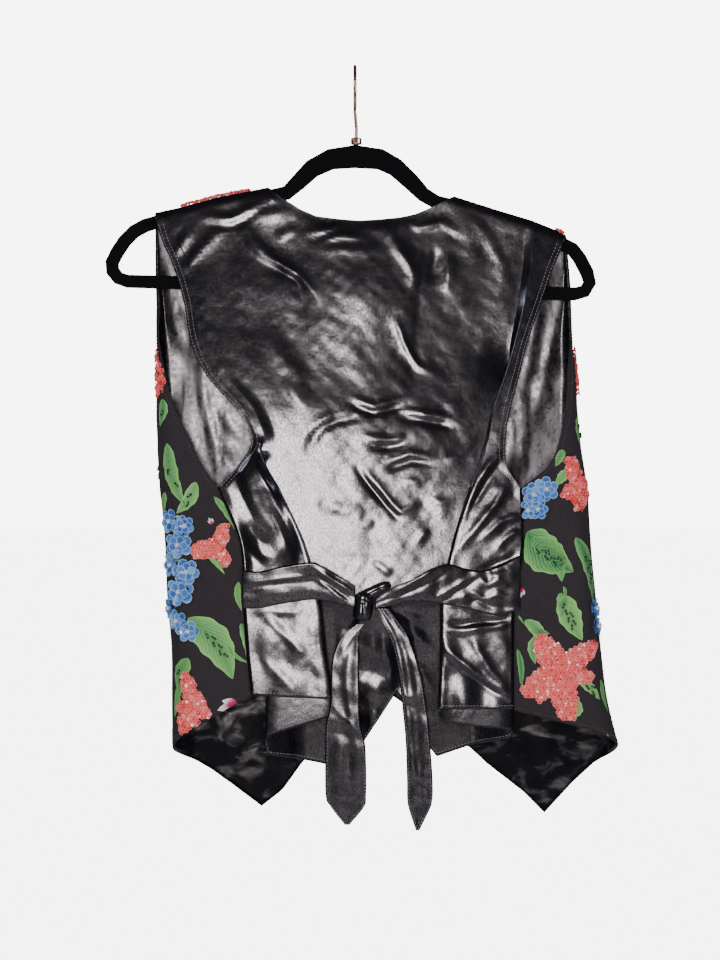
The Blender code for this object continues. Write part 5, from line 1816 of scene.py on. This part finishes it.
class WAISTCOAT_OT_stitching(bpy.types.Operator):
    """Sew the topstitching of the hems, armholes, neck, belt and ties"""

    bl_idname = "waistcoat.stitching"
    bl_label = "Topstitching"

    def execute(self, context):
        scale = context.scene.waistcoat_cloth.crease_scale
        shape = bmesh.new()
        grid = back_surface(scale)
        ways = grid_normals(grid, -1.0)
        first = len(TOP_DROPS)
        above = first + BACK_ROWS_ABOVE
        lift = BACK_WALL / 2 + STITCH_LIFT
        sew(shape, *inset_path(grid, ways, "hem", HEM_STITCH_IN), lift)
        for edge in ("start", "end"):
            for inset in BACK_STITCHES_IN:
                sew(shape, *inset_path(grid, ways, edge, inset, first, above), lift)
        pale = finish_of("satin thread", thread)
        self.finish(shape, "stitches_back", pale)
        for side, word in ((-1, "left"), (1, "right")):
            shape = bmesh.new()
            grid, ways, _ = crepe_surface(side)
            above = first + FRONT_ROWS_ABOVE
            lift = CREPE_WALL + STITCH_LIFT
            sew(shape, *inset_path(grid, ways, "hem", HEM_STITCH_IN), lift)
            sew(shape, *inset_path(grid, ways, "end", FRONT_STITCH_IN, first, above), lift)
            sew(shape, *inset_path(grid, ways, "start", FRONT_STITCH_IN, first), lift)
            self.finish(shape, "stitches_" + word, finish_of("crepe thread", dark_thread))
        shape = bmesh.new()
        for _, table, level, flip, folds, _, _ in STRIPS:
            grid = strip_surface(table, level, folds, scale)
            ways = grid_normals(grid, -1.0 if flip else 1.0)
            for edge in ("start", "end"):
                path = inset_path(grid, ways, edge, STRIP_STITCH_IN, 3)
                sew(shape, *path, BELT_WALL / 2 + STITCH_LIFT)
        self.finish(shape, "stitches_belt", pale)
        return {"FINISHED"}

    def finish(self, shape, name, look):
        piece = new_piece(name, shape, look)


class WAISTCOAT_OT_print(bpy.types.Operator):
    """Lay the printed leaves and buds on the fronts, with their glass tube beads"""

    bl_idname = "waistcoat.print"
    bl_label = "Printed leaves and beads"

    def execute(self, context):
        for side, word, leaves, far_leaves, buds in (
            (-1, "left", LEAVES_L, FAR_LEAVES_L, BUDS_L), (1, "right", LEAVES_R, FAR_LEAVES_R, BUDS_R),
        ):
            cloth = FrontCloth(side)
            chance = random.Random(40 + side)
            shape, buds_shape, beads = bmesh.new(), bmesh.new(), bmesh.new()
            layers = (shape.loops.layers.uv.new("print"), shade_layer(shape))
            bud_layers = (buds_shape.loops.layers.uv.new("print"), shade_layer(buds_shape))
            places = [(cloth.near(x, z), z, *rest) for x, z, *rest in leaves]
            grown = [(u, z, way, long * FAR_GROWTH, wide * FAR_GROWTH, bend, count)
                     for u, z, way, long, wide, bend, count in far_leaves]
            for u, z, way, long, wide, bend, count in places + grown:
                add_leaf(shape, layers, cloth, u, z, way, long, wide, bend, chance)
                add_beads_on_leaf(beads, cloth, u, z, way, long, bend, count, chance)
            near_buds = [(cloth.near(x, z), z, *rest) for x, z, *rest in buds]
            for u, z, way, long, wide in near_buds + list(FAR_BUDS):
                for turn in BUD_FAN:
                    reach = long * (1.0 - abs(turn) / 160)
                    add_leaf(buds_shape, bud_layers, cloth, u, z, way + turn, reach, wide * 0.7, 0,
                             chance, 0.02)
            leaves_piece = new_piece("leaves_" + word, shape, finish_of("leaf print", printed_leaf))
            buds_piece = new_piece("buds_" + word, buds_shape, finish_of("bud print", printed_bud))
            beads_piece = new_piece("tube_beads_" + word, beads, finish_of("black glass", glass_bead))
        return {"FINISHED"}


class WAISTCOAT_OT_sequins(bpy.types.Operator):
    """Sew the coral flowers, the blue blossoms and their pearls on the fronts"""

    bl_idname = "waistcoat.sequins"
    bl_label = "Sequin flowers and pearls"

    def execute(self, context):
        for side, word, corals, far_corals, blues, far_blues in (
            (-1, "left", CORAL_L, FAR_CORAL_L, BLUE_L, FAR_BLUE_L),
            (1, "right", CORAL_R, FAR_CORAL_R, BLUE_R, FAR_BLUE_R),
        ):
            cloth = FrontCloth(side)
            chance = random.Random(70 + side)
            shape = bmesh.new()
            shade = shade_layer(shape)
            grown = [(u, z, [(way, long * FAR_GROWTH, wide * FAR_GROWTH) for way, long, wide in petals])
                     for u, z, petals in far_corals]
            for u, z, petals in [(cloth.near(x, z), z, p) for x, z, p in corals] + grown:
                add_coral(shape, shade, cloth, u, z, petals, chance)
            shoulder = SHOULDER_L if side < 0 else SHOULDER_R
            for row_side, first, last, count in SHOULDER_ROWS:
                if row_side == side:
                    self.sew_shoulder_row(shape, shade, shoulder, first, last, count, chance)
            coral = new_piece("coral_flowers_" + word, shape, finish_of("coral sequins", coral_sequin))
            shape, pearls = bmesh.new(), bmesh.new()
            shade = shade_layer(shape)
            near_blues = [(cloth.near(x, z), z, *rest) for x, z, *rest in blues]
            for u, z, size, turn in near_blues + list(far_blues):
                add_blossom(shape, shade, pearls, cloth, u, z, size, turn, chance)
            blossoms = new_piece("blue_blossoms_" + word, shape, finish_of("blue sequins", blue_sequin))
            pearl_piece = new_piece("pearls_" + word, pearls, finish_of("grey pearl", pearl))
        return {"FINISHED"}

    def sew_shoulder_row(self, shape, shade, shoulder, first, last, count, chance):
        """Sequins at the top of a front, which just show over the shoulder."""
        for k in range(count):
            x = blend(first, last, (k + 0.5) / count)
            for drop, depth, facing in SHOULDER_STEPS:
                z = float(between(shoulder, x)) - drop + chance.uniform(-0.3, 0.4)
                place = Vector((x + chance.uniform(-0.8, 0.8), depth + 0.6, z))
                out = Vector((chance.uniform(-0.3, 0.3), facing, 1.0)).normalized()
                along = Vector((1.0, 0.0, 0.0))
                along = (along - out * along.dot(out)).normalized()
                tone = (chance.random(), chance.random())
                add_sequin(shape, shade, place, along, out, SHOULDER_SEQUIN_RADIUS, SEQUIN_CUP, tone)


class WAISTCOAT_OT_buttons(bpy.types.Operator):
    """Make the four buttons of the closing, with their holes and thread"""

    bl_idname = "waistcoat.buttons"
    bl_label = "Buttons"

    def execute(self, context):
        for number in range(1, 5):
            low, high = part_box(f"button_{number}")
            centre = [(a + b) / 2 / MM for a, b in zip(low, high)]
            button = new_piece(f"turned_button_{number}", turned_button(centre),
                               finish_of("black plastic", button_plastic))
            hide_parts(f"button_{number}")
            shape = bmesh.new()
            raised = Matrix.Translation((0, 0, 0.75 * MM))
            size = Matrix.Diagonal((*(each * MM for each in THREAD_BAR), 1.0))
            for turn in (45, 135):
                turned = Matrix.Rotation(math.radians(turn), 4, "Z") @ raised
                bmesh.ops.create_cube(shape, size=1.0, matrix=turned @ size)
            for x, y in ((1, 1), (-1, 1), (-1, -1), (1, -1)):
                place = (x * HOLE_OUT * MM, y * HOLE_OUT * MM, 0.65 * MM)
                bmesh.ops.create_cone(
                    shape, cap_ends=True, segments=12, radius1=HOLE_RADIUS * MM,
                    radius2=HOLE_MOUTH * MM, depth=0.5 * MM, matrix=Matrix.Translation(place),
                )
            stand_up(shape, centre)
            sewing = new_piece(f"button_thread_{number}", shape, finish_of("black thread", thread))
        return {"FINISHED"}


class WAISTCOAT_OT_hanger(bpy.types.Operator):
    """Finish the hanger in flock, and its hook and collar in copper"""

    bl_idname = "waistcoat.hanger"
    bl_label = "Hanger finishes"

    def execute(self, context):
        for name, material in (
            ("hanger", finish_of("black flock", flock)),
            ("hook", finish_of("copper", copper)),
            ("hook_collar", finish_of("copper", copper)),
        ):
            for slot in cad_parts[name].material_slots:
                slot.material = material
        return {"FINISHED"}


class WAISTCOAT_OT_stage(bpy.types.Operator):
    """Make the floor, the surround, the lights and the camera"""

    bl_idname = "waistcoat.stage"
    bl_label = "Stage"

    def execute(self, context):
        stage = context.scene.waistcoat_stage
        shape = bmesh.new()
        bmesh.ops.create_circle(shape, cap_ends=True, segments=96, radius=30.0,
                                matrix=Matrix.Translation((0.0, 0.0, -stage.floor_drop)))
        floor = new_object("floor", shape, finish_of("pale floor", pale_floor))
        world = bpy.data.worlds.new("pale surround")
        world.use_nodes = True
        tree = world.node_tree
        background = tree.nodes["Background"]
        background.inputs["Color"].default_value = (1.0, 1.0, 1.0, 1.0)
        seen = tree.nodes.new("ShaderNodeLightPath")
        strength = tree.nodes.new("ShaderNodeMapRange")
        strength.inputs["To Min"].default_value = stage.sky_strength
        strength.inputs["To Max"].default_value = stage.paper_strength
        tree.links.new(seen.outputs["Is Camera Ray"], strength.inputs["Value"])
        tree.links.new(strength.outputs["Result"], background.inputs["Strength"])
        context.scene.world = world
        for name, place, aim, share, wide, high, color in LIGHTS:
            self.light(name, place, aim, stage.soft_light * share, wide, high, color)
        eye = bpy.data.cameras.new("camera")
        eye.sensor_fit = "VERTICAL"
        eye.sensor_height = SENSOR_HEIGHT
        eye.lens = CAMERA_LENS
        camera = bpy.data.objects.new("camera", eye)
        camera.location = CAMERA_PLACE
        camera.rotation_euler = (math.radians(90), 0.0, 0.0)
        context.scene.collection.objects.link(camera)
        context.scene.camera = camera
        return {"FINISHED"}

    def light(self, name, place, aim, power, wide, high, color):
        lamp = bpy.data.lights.new(name, "AREA")
        lamp.shape = "RECTANGLE"
        lamp.color = color
        lamp.energy = power
        lamp.size = wide
        lamp.size_y = high
        made = bpy.data.objects.new(name, lamp)
        made.location = place
        made.rotation_euler = (Vector(aim) - Vector(place)).to_track_quat("-Z", "Y").to_euler()
        bpy.context.scene.collection.objects.link(made)


PIECE_OPERATORS = (
    WAISTCOAT_OT_stage, WAISTCOAT_OT_back, WAISTCOAT_OT_fronts, WAISTCOAT_OT_belt,
    WAISTCOAT_OT_stitching, WAISTCOAT_OT_print, WAISTCOAT_OT_sequins, WAISTCOAT_OT_buttons,
    WAISTCOAT_OT_hanger,
)
SETTINGS = (
    ("waistcoat_cloth", WaistcoatCloth), ("waistcoat_trim", WaistcoatTrim),
    ("waistcoat_hanger", WaistcoatHanger), ("waistcoat_stage", WaistcoatStage),
)


class WAISTCOAT_PT_panel(bpy.types.Panel):
    bl_idname = "WAISTCOAT_PT_panel"
    bl_label = "Waistcoat"
    bl_space_type = "VIEW_3D"
    bl_region_type = "UI"
    bl_category = "Waistcoat"

    def draw(self, context):
        for name, group in SETTINGS:
            box = self.layout.box()
            for key in group.__annotations__:
                box.prop(getattr(context.scene, name), key)
        for each in PIECE_OPERATORS:
            self.layout.operator(each.bl_idname)


def register():
    for name, group in SETTINGS:
        bpy.utils.register_class(group)
        setattr(bpy.types.Scene, name, bpy.props.PointerProperty(type=group))
    for each in PIECE_OPERATORS:
        bpy.utils.register_class(each)
    bpy.utils.register_class(WAISTCOAT_PT_panel)


def unregister():
    bpy.utils.unregister_class(WAISTCOAT_PT_panel)
    for each in reversed(PIECE_OPERATORS):
        bpy.utils.unregister_class(each)
    for name, group in SETTINGS:
        delattr(bpy.types.Scene, name)
        bpy.utils.unregister_class(group)


def main():
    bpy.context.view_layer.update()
    soften_depths()
    register()
    bpy.ops.waistcoat.stage()
    bpy.ops.waistcoat.back()
    bpy.ops.waistcoat.fronts()
    bpy.ops.waistcoat.belt()
    bpy.ops.waistcoat.stitching()
    bpy.ops.waistcoat.print()
    bpy.ops.waistcoat.sequins()
    bpy.ops.waistcoat.buttons()
    bpy.ops.waistcoat.hanger()
    bpy.context.view_layer.update()


if __name__ == "__main__":
    main()
